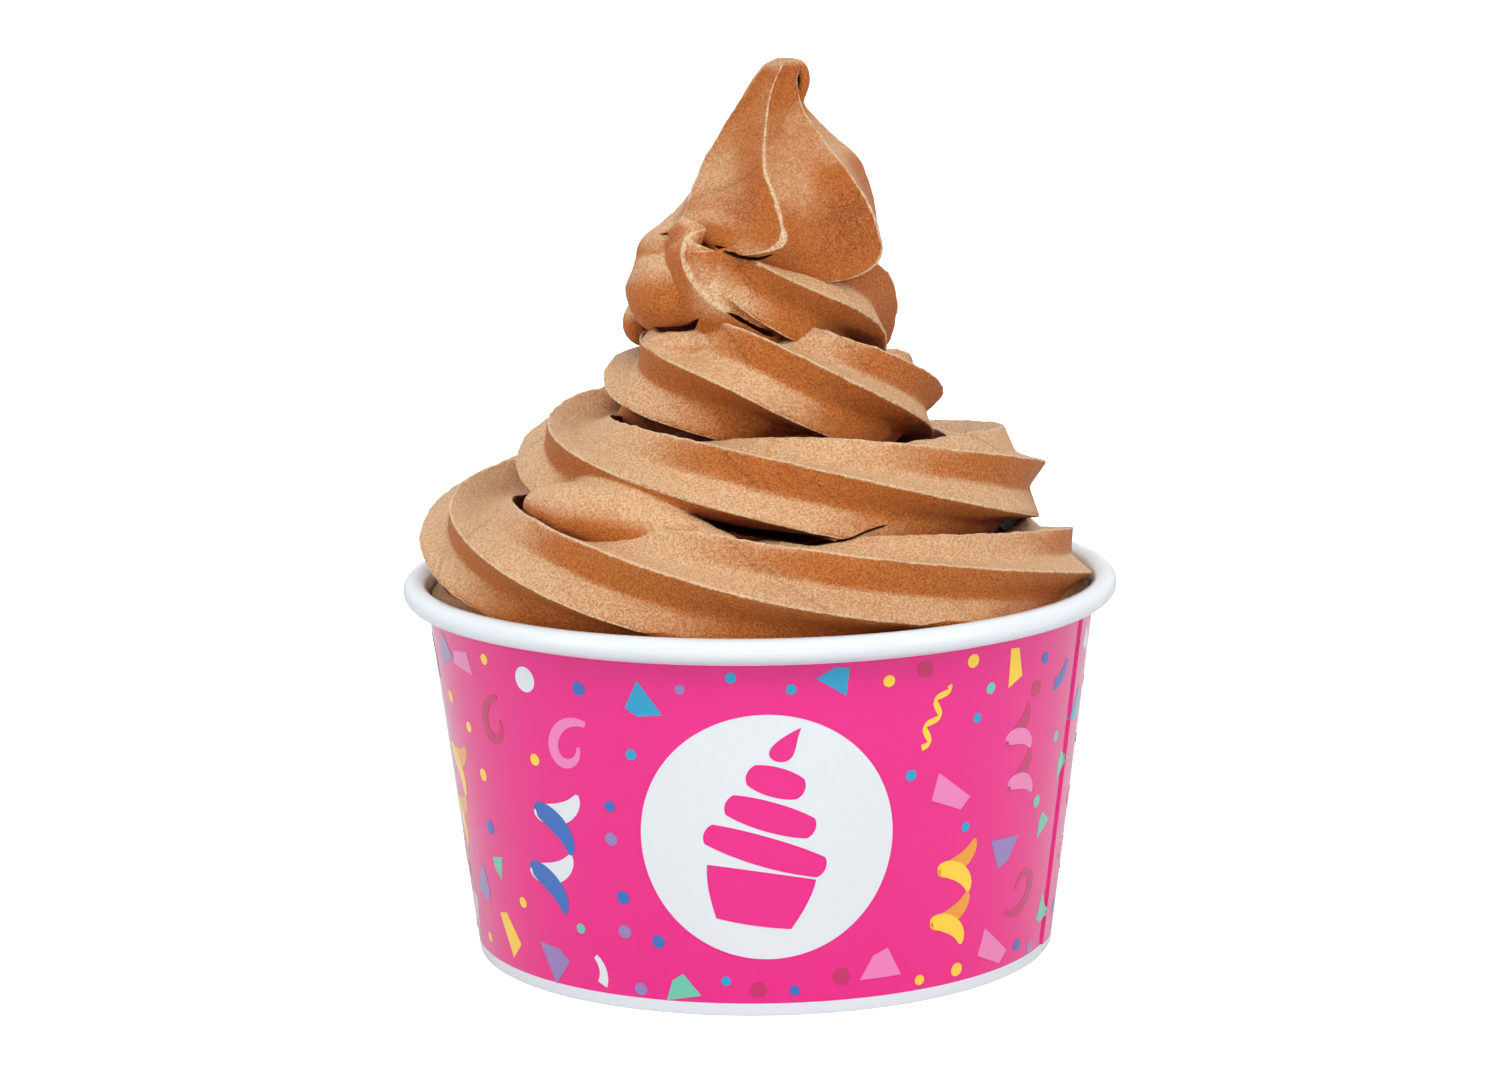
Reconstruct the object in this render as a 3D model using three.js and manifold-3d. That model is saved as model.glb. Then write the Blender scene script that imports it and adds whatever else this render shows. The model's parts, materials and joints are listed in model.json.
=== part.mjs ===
// A paper cup of soft-serve frozen yogurt: a rolled-rim cup, its recessed base and the swirl that fills it.
// Millimetres, +Z up. The cup's axis is the Z axis, it stands on z = 0 and its shown face looks along -Y.

import * as THREE from "three";
import * as BufferGeometryUtils from "three/addons/utils/BufferGeometryUtils.js";
import Module from "manifold-3d";

const wasm = await Module();
wasm.setup();

// ---- driving dimensions: the cup -------------------------------------------------------------------

const RIM_DIAMETER = 112;
const CUP_HEIGHT = 59.6;
const FOOT_RADIUS = 45.3;
const PAPER = 0.6;
const GAP = 0.3;
const RIM_ROLL = 1.9;
const RIM_WALL_RADIUS = 52.5;
const BASE_RECESS = 5.6;
const FOOT_LAYERS = 3;
const SEAM_WIDTH = 9;
const SEAM_STEP = 0.35;
const SEAM_BEARING = -14;
const CUP_SIDES = 72;

// ---- driving dimensions: the yogurt ----------------------------------------------------------------

const FILL_LEVEL = 57;
const FILL_SIDES = 60;
const NOZZLE_POINTS = 6;
const VALLEY = 0.63;
const SQUASH = 0.95;
const RIM_REST = 0.3;

// The mound inside the turns, as [radius, height] from the fill up to the axis.
const MOUND = [
  [45, 59],
  [38, 65.5],
  [31, 71.5],
  [22, 79],
  [14, 87],
  [10, 97],
  [7, 106],
  [0, 111],
];

// Where the rope's centre runs. One row for each quarter turn, starting at the left: distance from the
// axis, height, rope radius, and how far the star section has rolled on from one crest a turn (degrees).
const QUARTER_STATIONS = [
  // rising out of the fill: left, back
  [44.5, 49.0, 7.5, -60],
  [44.5, 55.5, 8.5, -60],
  // first turn: right, front, left, back
  [44.0, 59.5, 8.5, -39],
  [43.5, 63.5, 10.5, -50],
  [43.5, 65.5, 10.0, -16],
  [39.5, 69.5, 9.0, -31],
  // second turn
  [36.5, 73.0, 9.5, -68],
  [30.5, 76.0, 10.5, -66],
  [28.0, 77.5, 10.0, -79],
  [25.0, 81.0, 9.0, -91],
  // third turn
  [20.5, 86.0, 9.0, -66],
  [13.5, 91.0, 11.2, -62],
  [13.2, 88.0, 11.6, -71],
  [14.0, 88.0, 10.4, -88],
  // fourth turn
  [11.2, 100.4, 11.6, -64],
  [10.0, 105.5, 9.0, -84],
  [9.5, 103.5, 8.5, 9],
  [8.5, 108.0, 10.0, -60],
  // its end, inside the peak
  [3.0, 111.0, 8.0, -100],
];
const FIRST_STATION_TURN = -0.5;
const ROPE_STEPS_PER_TURN = [52, 44, 40, 40, 32];
const SEGMENT_TURNS = 0.25;

// ---- driving dimensions: the peak ------------------------------------------------------------------

// From its underside to its tip: height, axis x, radius, roll of the star, tilt to the left (degrees)
// and the reach of its hollows.
const PEAK_STATIONS = [
  [106.2, 1.5, 7.0, -56, 14, 0.92],
  [107.8, 1.5, 14.0, -40, 15, 0.92],
  [110.2, 1.8, 17.6, -14, 15, 0.9],
  [113.0, 3.0, 18.4, 3, 12, 0.88],
  [116.0, 4.0, 17.4, 0, 8, 0.86],
  [119.5, 4.2, 15.9, -4, 4, 0.82],
  [124.0, 4.0, 13.0, -11, 0, 0.77],
  [128.0, 3.1, 9.6, -9, 0, 0.74],
  [132.5, 2.6, 6.1, -4, 0, 0.74],
  [136.2, 3.2, 4.1, 0, 0, 0.78],
  [138.6, 4.4, 3.2, 0, 0, 0.82],
  [139.7, 5.0, 1.6, 0, 0, 0.85],
];
const PEAK_STEPS = 22;

// The peak's left side sinks: from this x on, by so many millimetres for each square millimetre.
const DROOP_FROM = -6;
const DROOP = 0.04;

// The tip's thread, as [x, z]: it leaves the top of the peak and drops on to its right flank.
const CURL_PATH = [
  [4.6, 138.4],
  [7.1, 138.6],
  [7.9, 136.2],
  [6.7, 132.9],
];
const CURL_RADIUS = 0.75;

// Soft swells where the turns climb and sag: centre, half sizes, turn about Z and slant (degrees).
const LOBES = [
  // the shoulder where the last turn climbs into the peak
  { centre: [-9.8, 0.5, 110.2], size: [6.3, 8.0, 6.8], turn: 0, slant: 0 },
  // the last turn's left side, the flank over it and the saddle under it
  { centre: [-12.4, -5.2, 104.6], size: [7.8, 9.6, 7.2], turn: 0, slant: 0 },
  { centre: [-12.0, -2.5, 108.4], size: [6.7, 8.0, 6.9], turn: 0, slant: 0 },
  { centre: [-11.0, -8.0, 96.3], size: [6.8, 8.0, 4.2], turn: 0, slant: 0 },
  // the fold that hangs behind it
  { centre: [-16.4, 8.5, 98.7], size: [8.0, 4.0, 4.6], turn: 62, slant: 6 },
];
const LOBE_SIDES = 12;
const LOBE_ROWS = 8;

// Folds that lie over the turns. One row for each station of the outermost line: bearing (degrees),
// distance from the axis, height, and how far the fold goes in behind it.
const CURLED_LIP = [
  [-120.0, 15.0, 115.0, 1.5],
  [-124.3, 17.6, 114.3, 5.0],
  [-125.0, 19.0, 113.0, 7.0],
  [-124.0, 19.8, 110.9, 8.0],
  [-119.0, 20.0, 107.6, 8.5],
  [-112.5, 19.3, 104.8, 8.5],
  [-107.0, 18.4, 103.4, 8.0],
  [-101.0, 17.2, 102.2, 7.2],
  [-95.5, 17.2, 101.0, 7.0],
  [-89.5, 17.0, 100.2, 6.8],
  [-81.5, 16.3, 100.5, 5.6],
  [-73.5, 15.2, 101.3, 3.6],
];
const SAGGING_FOLD = [
  [-148.0, 42.2, 74.0, 3.0],
  [-142.0, 43.6, 73.8, 4.6],
  [-135.5, 44.2, 73.6, 5.4],
  [-129.0, 44.2, 73.4, 5.6],
  [-122.0, 43.9, 73.0, 5.5],
  [-115.0, 43.3, 72.4, 5.0],
  [-108.0, 42.3, 71.7, 4.2],
  [-101.0, 41.0, 71.1, 2.8],
  [-95.0, 39.6, 70.7, 1.2],
];
const FOLD_STEPS = 14;
const FOLD_SIDES = 8;
const LIP_BODY = 0.93;
const SAGGING_BODY = 1;

// ---- helpers ---------------------------------------------------------------------------------------

const RIM_RADIUS = RIM_DIAMETER / 2;
const ROLL_CENTRE_R = RIM_RADIUS - RIM_ROLL;
const ROLL_CENTRE_Z = CUP_HEIGHT - RIM_ROLL;
const TWO_PI = Math.PI * 2;
const rad = (degrees) => (degrees * Math.PI) / 180;

/** Outer radius of the straight wall at a height. */
function wallRadius(z) {
  return FOOT_RADIUS + ((RIM_WALL_RADIUS - FOOT_RADIUS) * z) / ROLL_CENTRE_Z;
}

/** Turns a mesh geometry into a manifold-3d solid. */
function toManifold(geometry) {
  const bare = geometry.clone();
  bare.deleteAttribute("normal");
  bare.deleteAttribute("uv");
  const merged = BufferGeometryUtils.mergeVertices(bare, 1e-4);
  const vertProperties = new Float32Array(merged.attributes.position.array);
  const triVerts = new Uint32Array(merged.index.array);
  return new wasm.Manifold(new wasm.Mesh({ numProp: 3, vertProperties, triVerts }));
}

/** Turns a manifold-3d solid into a mesh geometry. */
function toGeometry(manifold) {
  const mesh = manifold.getMesh();
  const geometry = new THREE.BufferGeometry();
  const positions = new Float32Array(mesh.numVert * 3);
  for (let i = 0; i < mesh.numVert; i++) {
    for (let axis = 0; axis < 3; axis++) {
      positions[i * 3 + axis] = mesh.vertProperties[i * mesh.numProp + axis];
    }
  }
  geometry.setAttribute("position", new THREE.BufferAttribute(positions, 3));
  geometry.setIndex(Array.from(mesh.triVerts));
  geometry.computeVertexNormals();
  return geometry;
}

/** Revolves [radius, height] pairs about Z. The pairs run so that the material is on their left. */
function revolve(pairs, sides = CUP_SIDES, start = 0, sweep = TWO_PI) {
  const points = pairs.map(([r, z]) => new THREE.Vector2(r, z));
  const geometry = new THREE.LatheGeometry(points, sides, start, sweep);
  geometry.rotateX(Math.PI / 2);
  return geometry;
}

/** A smooth curve through evenly spaced values: Catmull-Rom, clamped at both ends. */
function through(values, t) {
  const last = values.length - 1;
  const i = Math.min(Math.max(Math.floor(t), 0), last - 1);
  const f = t - i;
  const before = values[Math.max(i - 1, 0)];
  const after = values[Math.min(i + 2, last)];
  const slopeIn = (values[i + 1] - before) / 2;
  const slopeOut = (after - values[i]) / 2;
  const f2 = f * f;
  const f3 = f2 * f;
  const start = (2 * f3 - 3 * f2 + 1) * values[i] + (f3 - 2 * f2 + f) * slopeIn;
  const end = (3 * f2 - 2 * f3) * values[i + 1] + (f3 - f2) * slopeOut;
  return start + end;
}

/** Joins rings of equal length into a closed solid with flat fan caps. */
function skin(rings) {
  const count = rings[0].length;
  const positions = [];
  const index = [];
  for (const ring of rings) {
    for (const p of ring) {
      positions.push(p.x, p.y, p.z);
    }
  }
  for (let j = 0; j + 1 < rings.length; j++) {
    for (let i = 0; i < count; i++) {
      const a = j * count + i;
      const b = j * count + ((i + 1) % count);
      const [c, d] = [b + count, a + count];
      // each quad is split along its shorter diagonal, so that a rolling ridge stays even
      const across = rings[j][i].distanceTo(rings[j + 1][(i + 1) % count]);
      const other = rings[j][(i + 1) % count].distanceTo(rings[j + 1][i]);
      index.push(...(across < other ? [a, b, c, a, c, d] : [a, b, d, b, c, d]));
    }
  }
  for (const [j, flip] of [[0, true], [rings.length - 1, false]]) {
    const centre = new THREE.Vector3();
    rings[j].forEach((p) => centre.add(p));
    centre.divideScalar(count);
    const c = positions.length / 3;
    positions.push(centre.x, centre.y, centre.z);
    for (let i = 0; i < count; i++) {
      const a = j * count + i;
      const b = j * count + ((i + 1) % count);
      index.push(...(flip ? [c, b, a] : [c, a, b]));
    }
  }
  const geometry = new THREE.BufferGeometry();
  geometry.setAttribute("position", new THREE.Float32BufferAttribute(positions, 3));
  geometry.setIndex(index);
  return toManifold(geometry);
}

// ---- the paper cup ---------------------------------------------------------------------------------

/** The wall: up the outside, round the rolled rim, down the inside, and crimped thick at the foot. */
function cupWall() {
  const pairs = [];
  const crimp = FOOT_RADIUS - FOOT_LAYERS * PAPER;
  const crimpTop = BASE_RECESS - GAP;
  pairs.push([crimp, 0.3]);
  pairs.push([crimp + 0.3, 0]);
  pairs.push([FOOT_RADIUS - 0.3, 0]);
  pairs.push([FOOT_RADIUS, 0.3]);
  const neck = ROLL_CENTRE_Z - RIM_ROLL - 0.4;
  pairs.push([wallRadius(neck), neck]);
  // outside of the curl: from the wall's top, over the rim and down to the lip
  const inner = RIM_ROLL - PAPER;
  const lip = rad(-150);
  const innerSteps = 6;
  pairs.push([wallRadius(ROLL_CENTRE_Z), ROLL_CENTRE_Z]);
  for (let i = 1; i <= innerSteps; i++) {
    const t = rad(180) + ((lip - rad(180)) * i) / innerSteps;
    pairs.push([ROLL_CENTRE_R + inner * Math.cos(t), ROLL_CENTRE_Z + inner * Math.sin(t)]);
  }
  const outerSteps = 9;
  const over = rad(165);
  for (let i = 0; i <= outerSteps; i++) {
    const t = lip + ((over - lip) * i) / outerSteps;
    pairs.push([ROLL_CENTRE_R + RIM_ROLL * Math.cos(t), ROLL_CENTRE_Z + RIM_ROLL * Math.sin(t)]);
  }
  pairs.push([wallRadius(ROLL_CENTRE_Z) - PAPER, ROLL_CENTRE_Z - 0.6]);
  pairs.push([wallRadius(crimpTop) - PAPER, crimpTop]);
  pairs.push([crimp, crimpTop]);
  pairs.push(pairs[0]);
  const wall = toManifold(revolve(pairs));
  return wall.add(seam());
}

/** The glued overlap of the wrapped wall: one step in the paper, from the foot to the rim. */
function seam() {
  const low = 0.8;
  const high = ROLL_CENTRE_Z - RIM_ROLL - 0.8;
  const half = SEAM_WIDTH / 2 / RIM_WALL_RADIUS;
  const rings = [];
  const columns = 6;
  for (const z of [low, high]) {
    const outer = [];
    const back = [];
    for (let i = 0; i <= columns; i++) {
      const bearing = rad(SEAM_BEARING) + half * ((2 * i) / columns - 1);
      const r = wallRadius(z);
      outer.push(new THREE.Vector3(Math.cos(bearing), Math.sin(bearing), 0).multiplyScalar(r + SEAM_STEP));
      back.unshift(new THREE.Vector3(Math.cos(bearing), Math.sin(bearing), 0).multiplyScalar(r - PAPER / 2));
    }
    const ring = [...outer, ...back];
    ring.forEach((p) => (p.z = z));
    rings.push(ring);
  }
  return skin(rings);
}

/** The base: a disc held up inside the foot, on top of the crimp. */
function cupBase() {
  const outer = (z) => wallRadius(z) - PAPER - GAP;
  const top = BASE_RECESS + PAPER;
  const pairs = [
    [0, BASE_RECESS],
    [outer(BASE_RECESS) - 0.2, BASE_RECESS],
    [outer(BASE_RECESS + 0.2), BASE_RECESS + 0.2],
    [outer(top - 0.2), top - 0.2],
    [outer(top) - 0.2, top],
    [0, top],
  ];
  return toManifold(revolve(pairs));
}

// ---- the yogurt ------------------------------------------------------------------------------------

/** Column of the station table. */
const column = (table, k) => table.map((row) => row[k]);

const STATION_RADII = column(QUARTER_STATIONS, 0);
const STATION_HEIGHTS = column(QUARTER_STATIONS, 1);
const STATION_ROPES = column(QUARTER_STATIONS, 2);
const STATION_ROLLS = column(QUARTER_STATIONS, 3);
const LAST_TURN = FIRST_STATION_TURN + (QUARTER_STATIONS.length - 1) / 4;

/** Centre of the rope after a number of turns. It climbs clockwise as seen from above. */
function ropeCentre(turn) {
  const t = (turn - FIRST_STATION_TURN) * 4;
  const bearing = -turn * TWO_PI;
  const r = through(STATION_RADII, t);
  return new THREE.Vector3(r * Math.cos(bearing), r * Math.sin(bearing), through(STATION_HEIGHTS, t));
}

/** The star section of the rope after a number of turns. */
function ropeRing(turn) {
  const t = (turn - FIRST_STATION_TURN) * 4;
  const centre = ropeCentre(turn);
  const along = ropeCentre(turn + 0.002).sub(ropeCentre(turn - 0.002)).normalize();
  const upward = new THREE.Vector3(0, 0, 1);
  upward.addScaledVector(along, -along.z).normalize();
  const outward = new THREE.Vector3().crossVectors(upward, along);
  if (outward.dot(new THREE.Vector3(centre.x, centre.y, 0)) < 0) {
    outward.negate();
  }
  const size = through(STATION_ROPES, t);
  const roll = rad(through(STATION_ROLLS, t)) + (turn - 0.25) * TWO_PI;
  const ring = [];
  for (let i = 0; i < NOZZLE_POINTS * 2; i++) {
    const angle = roll + (i * Math.PI) / NOZZLE_POINTS;
    const reach = size * (i % 2 === 0 ? 1 : VALLEY);
    const p = centre.clone();
    p.addScaledVector(outward, reach * Math.cos(angle));
    p.addScaledVector(upward, reach * SQUASH * Math.sin(angle));
    ring.push(p);
  }
  return ring;
}

/** The rope laid in turns, as one solid. */
function rope() {
  const pieces = [];
  for (let from = FIRST_STATION_TURN; from < LAST_TURN - 1e-6; from += SEGMENT_TURNS) {
    const perTurn = ROPE_STEPS_PER_TURN[Math.max(0, Math.floor(from))];
    const steps = Math.round(perTurn * SEGMENT_TURNS);
    const rings = [];
    for (let i = 0; i <= steps; i++) {
      rings.push(ropeRing(from + (SEGMENT_TURNS * i) / steps));
    }
    pieces.push(skin(rings));
  }
  return pieces.reduce((whole, piece) => whole.add(piece));
}

/** The pulled-up peak that closes the swirl: a star that swells, then tapers to its tip. */
function peak() {
  const columns = [0, 1, 2, 3, 4, 5].map((k) => column(PEAK_STATIONS, k));
  const [heights, centres, sizes, rolls, tilts, valleys] = columns;
  const rings = [];
  for (let j = 0; j <= PEAK_STEPS; j++) {
    const t = ((PEAK_STATIONS.length - 1) * j) / PEAK_STEPS;
    const slope = Math.tan(rad(through(tilts, t)));
    const ring = [];
    for (let i = 0; i < NOZZLE_POINTS * 2; i++) {
      const bearing = rad(through(rolls, t) - 90) + (i * Math.PI) / NOZZLE_POINTS;
      const reach = through(sizes, t) * (i % 2 === 0 ? 1 : through(valleys, t));
      const side = reach * Math.cos(bearing);
      const x = through(centres, t) + side;
      const beyond = Math.min(0, x - DROOP_FROM);
      const height = through(heights, t) - side * slope - DROOP * beyond * beyond;
      ring.push(new THREE.Vector3(x, reach * Math.sin(bearing), height));
    }
    rings.push(ring);
  }
  return skin(rings);
}

/** The thread at the tip, folded over to the right. */
function curl() {
  const knots = CURL_PATH.map(([x, z]) => new THREE.Vector3(x, 0, z));
  const curve = new THREE.CatmullRomCurve3(knots);
  const rings = [];
  const steps = 9;
  const sides = 8;
  for (let j = 0; j <= steps; j++) {
    const centre = curve.getPoint(j / steps);
    const along = curve.getTangent(j / steps);
    const across = new THREE.Vector3(0, 1, 0);
    const normal = new THREE.Vector3().crossVectors(across, along);
    const ring = [];
    for (let i = 0; i < sides; i++) {
      const angle = (i * TWO_PI) / sides;
      const p = centre.clone();
      p.addScaledVector(normal, CURL_RADIUS * Math.cos(angle));
      p.addScaledVector(across, 1.4 * CURL_RADIUS * Math.sin(angle));
      ring.push(p);
    }
    rings.push(ring);
  }
  return skin(rings);
}

/** A smooth swell: an ellipsoid, slanted and then turned about Z. */
function lobe({ centre, size, turn, slant }) {
  const geometry = new THREE.SphereGeometry(1, LOBE_SIDES, LOBE_ROWS);
  geometry.rotateX(Math.PI / 2);
  geometry.scale(...size);
  geometry.rotateY(rad(-slant));
  geometry.rotateZ(rad(turn));
  geometry.translate(...centre);
  return toManifold(geometry);
}

/** A fold behind its outermost line: round, or with a crest along that line where body is under 1. */
function fold(stations, body) {
  const [bearings, reaches, heights, depths] = [0, 1, 2, 3].map((k) => column(stations, k));
  const last = stations.length - 1;
  const crest = (t) => {
    const bearing = rad(through(bearings, t));
    const reach = through(reaches, t);
    return new THREE.Vector3(reach * Math.cos(bearing), reach * Math.sin(bearing), through(heights, t));
  };
  const rings = [];
  for (let j = 0; j <= FOLD_STEPS; j++) {
    const t = (last * j) / FOLD_STEPS;
    const top = crest(t);
    const ahead = crest(t + 0.02).sub(crest(t - 0.02)).normalize();
    const outward = new THREE.Vector3(top.x, top.y, 0).normalize();
    outward.addScaledVector(ahead, -outward.dot(ahead)).normalize();
    const across = new THREE.Vector3().crossVectors(ahead, outward);
    const deep = through(depths, t);
    const ring = [];
    for (let i = 0; i < FOLD_SIDES; i++) {
      const angle = (i * TWO_PI) / FOLD_SIDES;
      const reach = deep * (i === 0 ? 1 : body);
      const p = top.clone();
      p.addScaledVector(outward, reach * Math.cos(angle) - deep);
      p.addScaledVector(across, reach * Math.sin(angle));
      ring.push(p);
    }
    rings.push(ring);
  }
  return skin(rings);
}

/** What fills the cup and the inside of the turns. */
function fill() {
  const floor = BASE_RECESS + PAPER + GAP;
  const edge = (z) => wallRadius(z) - PAPER - GAP;
  const pairs = [
    [0, floor],
    [edge(floor), floor],
    [edge(FILL_LEVEL), FILL_LEVEL],
    ...MOUND,
  ];
  return toManifold(revolve(pairs, FILL_SIDES));
}

/** The room the yogurt leaves for the wall and the rolled rim. */
function rimRoom() {
  const edge = (z) => wallRadius(z) - PAPER - GAP;
  const pairs = [
    [edge(-1), -1],
    [RIM_RADIUS + 6, -1],
    [RIM_RADIUS + 6, CUP_HEIGHT + RIM_REST],
    [edge(CUP_HEIGHT) + 0.4, CUP_HEIGHT + RIM_REST],
    [edge(CUP_HEIGHT - 1.2), CUP_HEIGHT - 1.2],
    [edge(-1), -1],
  ];
  return toManifold(revolve(pairs, FILL_SIDES));
}

/** The whole of the yogurt, as one solid. */
function frozenYogurt() {
  const folds = [fold(CURLED_LIP, LIP_BODY), fold(SAGGING_FOLD, SAGGING_BODY)];
  const forms = [rope(), peak(), curl(), ...folds, ...LOBES.map(lobe)];
  const whole = forms.reduce((sum, form) => sum.add(form), fill()).subtract(rimRoom());
  const bodies = whole.decompose();
  bodies.sort((a, b) => b.volume() - a.volume());
  return bodies[0];
}

// ---- the object ------------------------------------------------------------------------------------

const MATERIALS = {
  cup_wall: { color: 0xc92a6c, roughness: 0.35, metalness: 0 },
  cup_base: { color: 0xf4f1ec, roughness: 0.6, metalness: 0 },
  frozen_yogurt: { color: 0xb98450, roughness: 0.55, metalness: 0 },
};

const solids = {
  cup_wall: cupWall(),
  cup_base: cupBase(),
  frozen_yogurt: frozenYogurt(),
};

const part = new THREE.Group();
part.name = "frozen_yogurt_cup";
for (const [name, solid] of Object.entries(solids)) {
  const mesh = new THREE.Mesh(toGeometry(solid), new THREE.MeshStandardMaterial(MATERIALS[name]));
  mesh.name = name;
  mesh.material.name = name;
  part.add(mesh);
}

export default part;
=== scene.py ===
"""Looks of a frozen yogurt cup: a printed paper cup and the ridged swirl of soft yogurt that fills it.

Sizes in the classes are in millimetres and become metres where a mesh is made. +Z is up, and the shown face
of the cup looks along -Y.
"""

import json
import logging
import math
import random
from collections.abc import Callable, Sequence
from dataclasses import dataclass, replace
from enum import Enum
from typing import Any

import bmesh
import bpy
import numpy
from bpy.types import Collection, Material, Mesh, Node, NodeSocket, NodeTree, Object
from mathutils import Matrix, Vector, noise
from mathutils.bvhtree import BVHTree

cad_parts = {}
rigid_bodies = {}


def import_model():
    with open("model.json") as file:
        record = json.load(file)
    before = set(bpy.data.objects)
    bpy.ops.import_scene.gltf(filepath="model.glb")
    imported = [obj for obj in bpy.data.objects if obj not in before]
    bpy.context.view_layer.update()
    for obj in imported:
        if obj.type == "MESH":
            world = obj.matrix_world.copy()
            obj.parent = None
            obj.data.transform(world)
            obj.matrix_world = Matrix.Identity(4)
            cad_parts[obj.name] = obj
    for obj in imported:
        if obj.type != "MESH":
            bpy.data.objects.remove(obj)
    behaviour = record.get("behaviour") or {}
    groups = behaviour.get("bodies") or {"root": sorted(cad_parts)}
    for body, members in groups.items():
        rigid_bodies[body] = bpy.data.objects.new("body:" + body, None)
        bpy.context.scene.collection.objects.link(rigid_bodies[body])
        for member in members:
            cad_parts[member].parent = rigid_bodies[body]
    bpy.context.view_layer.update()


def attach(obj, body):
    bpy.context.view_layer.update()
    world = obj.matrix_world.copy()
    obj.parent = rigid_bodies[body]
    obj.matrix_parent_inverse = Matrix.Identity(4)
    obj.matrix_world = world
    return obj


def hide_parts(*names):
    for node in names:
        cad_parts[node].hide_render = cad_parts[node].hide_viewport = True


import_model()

log = logging.getLogger("frozen_yogurt_cup")

MM = 0.001
TWO_PI = 2 * math.pi
HAIR = 1e-6
BODY = "root"
IMAGE_WIDTH = 1512
# sockets of a Mix node that is set to colours
FIRST_COLOUR, SECOND_COLOUR, MIXED_COLOUR = 6, 7, 2

Colour = tuple[float, float, float, float]
Place = tuple[float, float, float]
Pair = tuple[float, float]


class Slot(Enum):
    """The record's material slots."""

    PRINTED_PAPER = "printed_paper"
    WHITE_PAPER = "white_paper"
    YOGURT = "frozen_yogurt"


# ---- small helpers ---------------------------------------------------------------------------------


def linear(red: int, green: int, blue: int) -> Colour:
    """Turns a screen colour into the linear colour that a shader takes.

    Args:
        red: Red, 0 to 255.
        green: Green, 0 to 255.
        blue: Blue, 0 to 255.

    Returns:
        Linear red, green and blue, and an alpha of 1.
    """

    def one(value: int) -> float:
        """Linear value of one channel."""
        v = value / 255
        return v / 12.92 if v <= 0.04045 else ((v + 0.055) / 1.055) ** 2.4

    return one(red), one(green), one(blue), 1.0


def through(values: Sequence[float], t: float) -> float:
    """A smooth curve through evenly spaced values: Catmull-Rom, clamped at both ends.

    Args:
        values: The values, one at each whole t.
        t: Where to read the curve.

    Returns:
        The curve's value at t.
    """
    last = len(values) - 1
    i = min(max(math.floor(t), 0), last - 1)
    f = t - i
    before, after = values[max(i - 1, 0)], values[min(i + 2, last)]
    slope_in = (values[i + 1] - before) / 2
    slope_out = (after - values[i]) / 2
    f2, f3 = f * f, f * f * f
    start = (2 * f3 - 3 * f2 + 1) * values[i] + (f3 - 2 * f2 + f) * slope_in
    end = (3 * f2 - 2 * f3) * values[i + 1] + (f3 - f2) * slope_out
    return start + end


def column(table: Sequence[Sequence[float]], k: int) -> list[float]:
    """Column k of a table of stations."""
    return [row[k] for row in table]


def cup_spot(radius: float, bearing: float, height: float) -> Place:
    """Place in metres at a radius and a height in millimetres, and a bearing in radians."""
    return radius * math.cos(bearing) * MM, radius * math.sin(bearing) * MM, height * MM


def leaned(turn: float, slant: float) -> Matrix:
    """The rotation of a form that is turned about Z and rises along its X, in degrees."""
    return Matrix.Rotation(math.radians(turn), 3, "Z") @ Matrix.Rotation(math.radians(-slant), 3, "Y")


def new_object(name: str, mesh: Mesh) -> Object:
    """Puts a mesh in the scene as an object at the origin.

    Args:
        name: Name of the object and of its mesh.
        mesh: The mesh.

    Returns:
        The new object.
    """
    mesh.name = name
    made = bpy.data.objects.new(name, mesh)
    bpy.context.scene.collection.objects.link(made)
    return made


def worked(name: str, work: bmesh.types.BMesh) -> Object:
    """Makes an object of a mesh in the making, which is freed."""
    mesh = bpy.data.meshes.new(name)
    work.to_mesh(mesh)
    work.free()
    return new_object(name, mesh)


def evaluated(source: Object, name: str) -> Object:
    """Makes a plain object of what an object's modifiers give, and deletes the object they were on.

    Args:
        source: The object with modifiers.
        name: Name of the plain object.

    Returns:
        The plain object, with no modifier.
    """
    graph = bpy.context.evaluated_depsgraph_get()
    mesh = bpy.data.meshes.new_from_object(source.evaluated_get(graph), depsgraph=graph)
    bpy.data.objects.remove(source)
    return new_object(name, mesh)


def clean(target: Object, merge: float = 0.002) -> None:
    """Merges an object's doubled points and turns its faces outwards.

    Args:
        target: The object, which has a closed mesh.
        merge: Points nearer than this are one, in millimetres.
    """
    work = bmesh.new()
    work.from_mesh(target.data)
    bmesh.ops.remove_doubles(work, verts=work.verts, dist=merge * MM)
    bmesh.ops.recalc_face_normals(work, faces=work.faces)
    if work.calc_volume(signed=True) < 0:
        bmesh.ops.reverse_faces(work, faces=work.faces)
    work.to_mesh(target.data)
    work.free()


def closed(name: str, work: bmesh.types.BMesh) -> Object:
    """Makes a clean object of a closed mesh in the making, which is freed."""
    made = worked(name, work)
    clean(made)
    return made


def lofted(name: str, work: bmesh.types.BMesh, loops: Sequence[Sequence[bmesh.types.BMVert]]) -> Object:
    """Makes a closed object of a row of loops, with a face over each end.

    Args:
        name: Name of the new object.
        work: The mesh in the making that holds the loops' points.
        loops: The points of each loop.

    Returns:
        The closed object.
    """
    sides = len(loops[0])
    for a, b in zip(loops, loops[1:]):
        for i in range(sides):
            k = (i + 1) % sides
            work.faces.new((a[i], a[k], b[k], b[i]))
    work.faces.new(loops[0])
    work.faces.new(loops[-1])
    return closed(name, work)


def points_of(mesh: Mesh) -> Any:
    """A mesh's points in metres, one row each."""
    flat = numpy.empty(len(mesh.vertices) * 3)
    mesh.vertices.foreach_get("co", flat)
    return flat.reshape(-1, 3)


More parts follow.
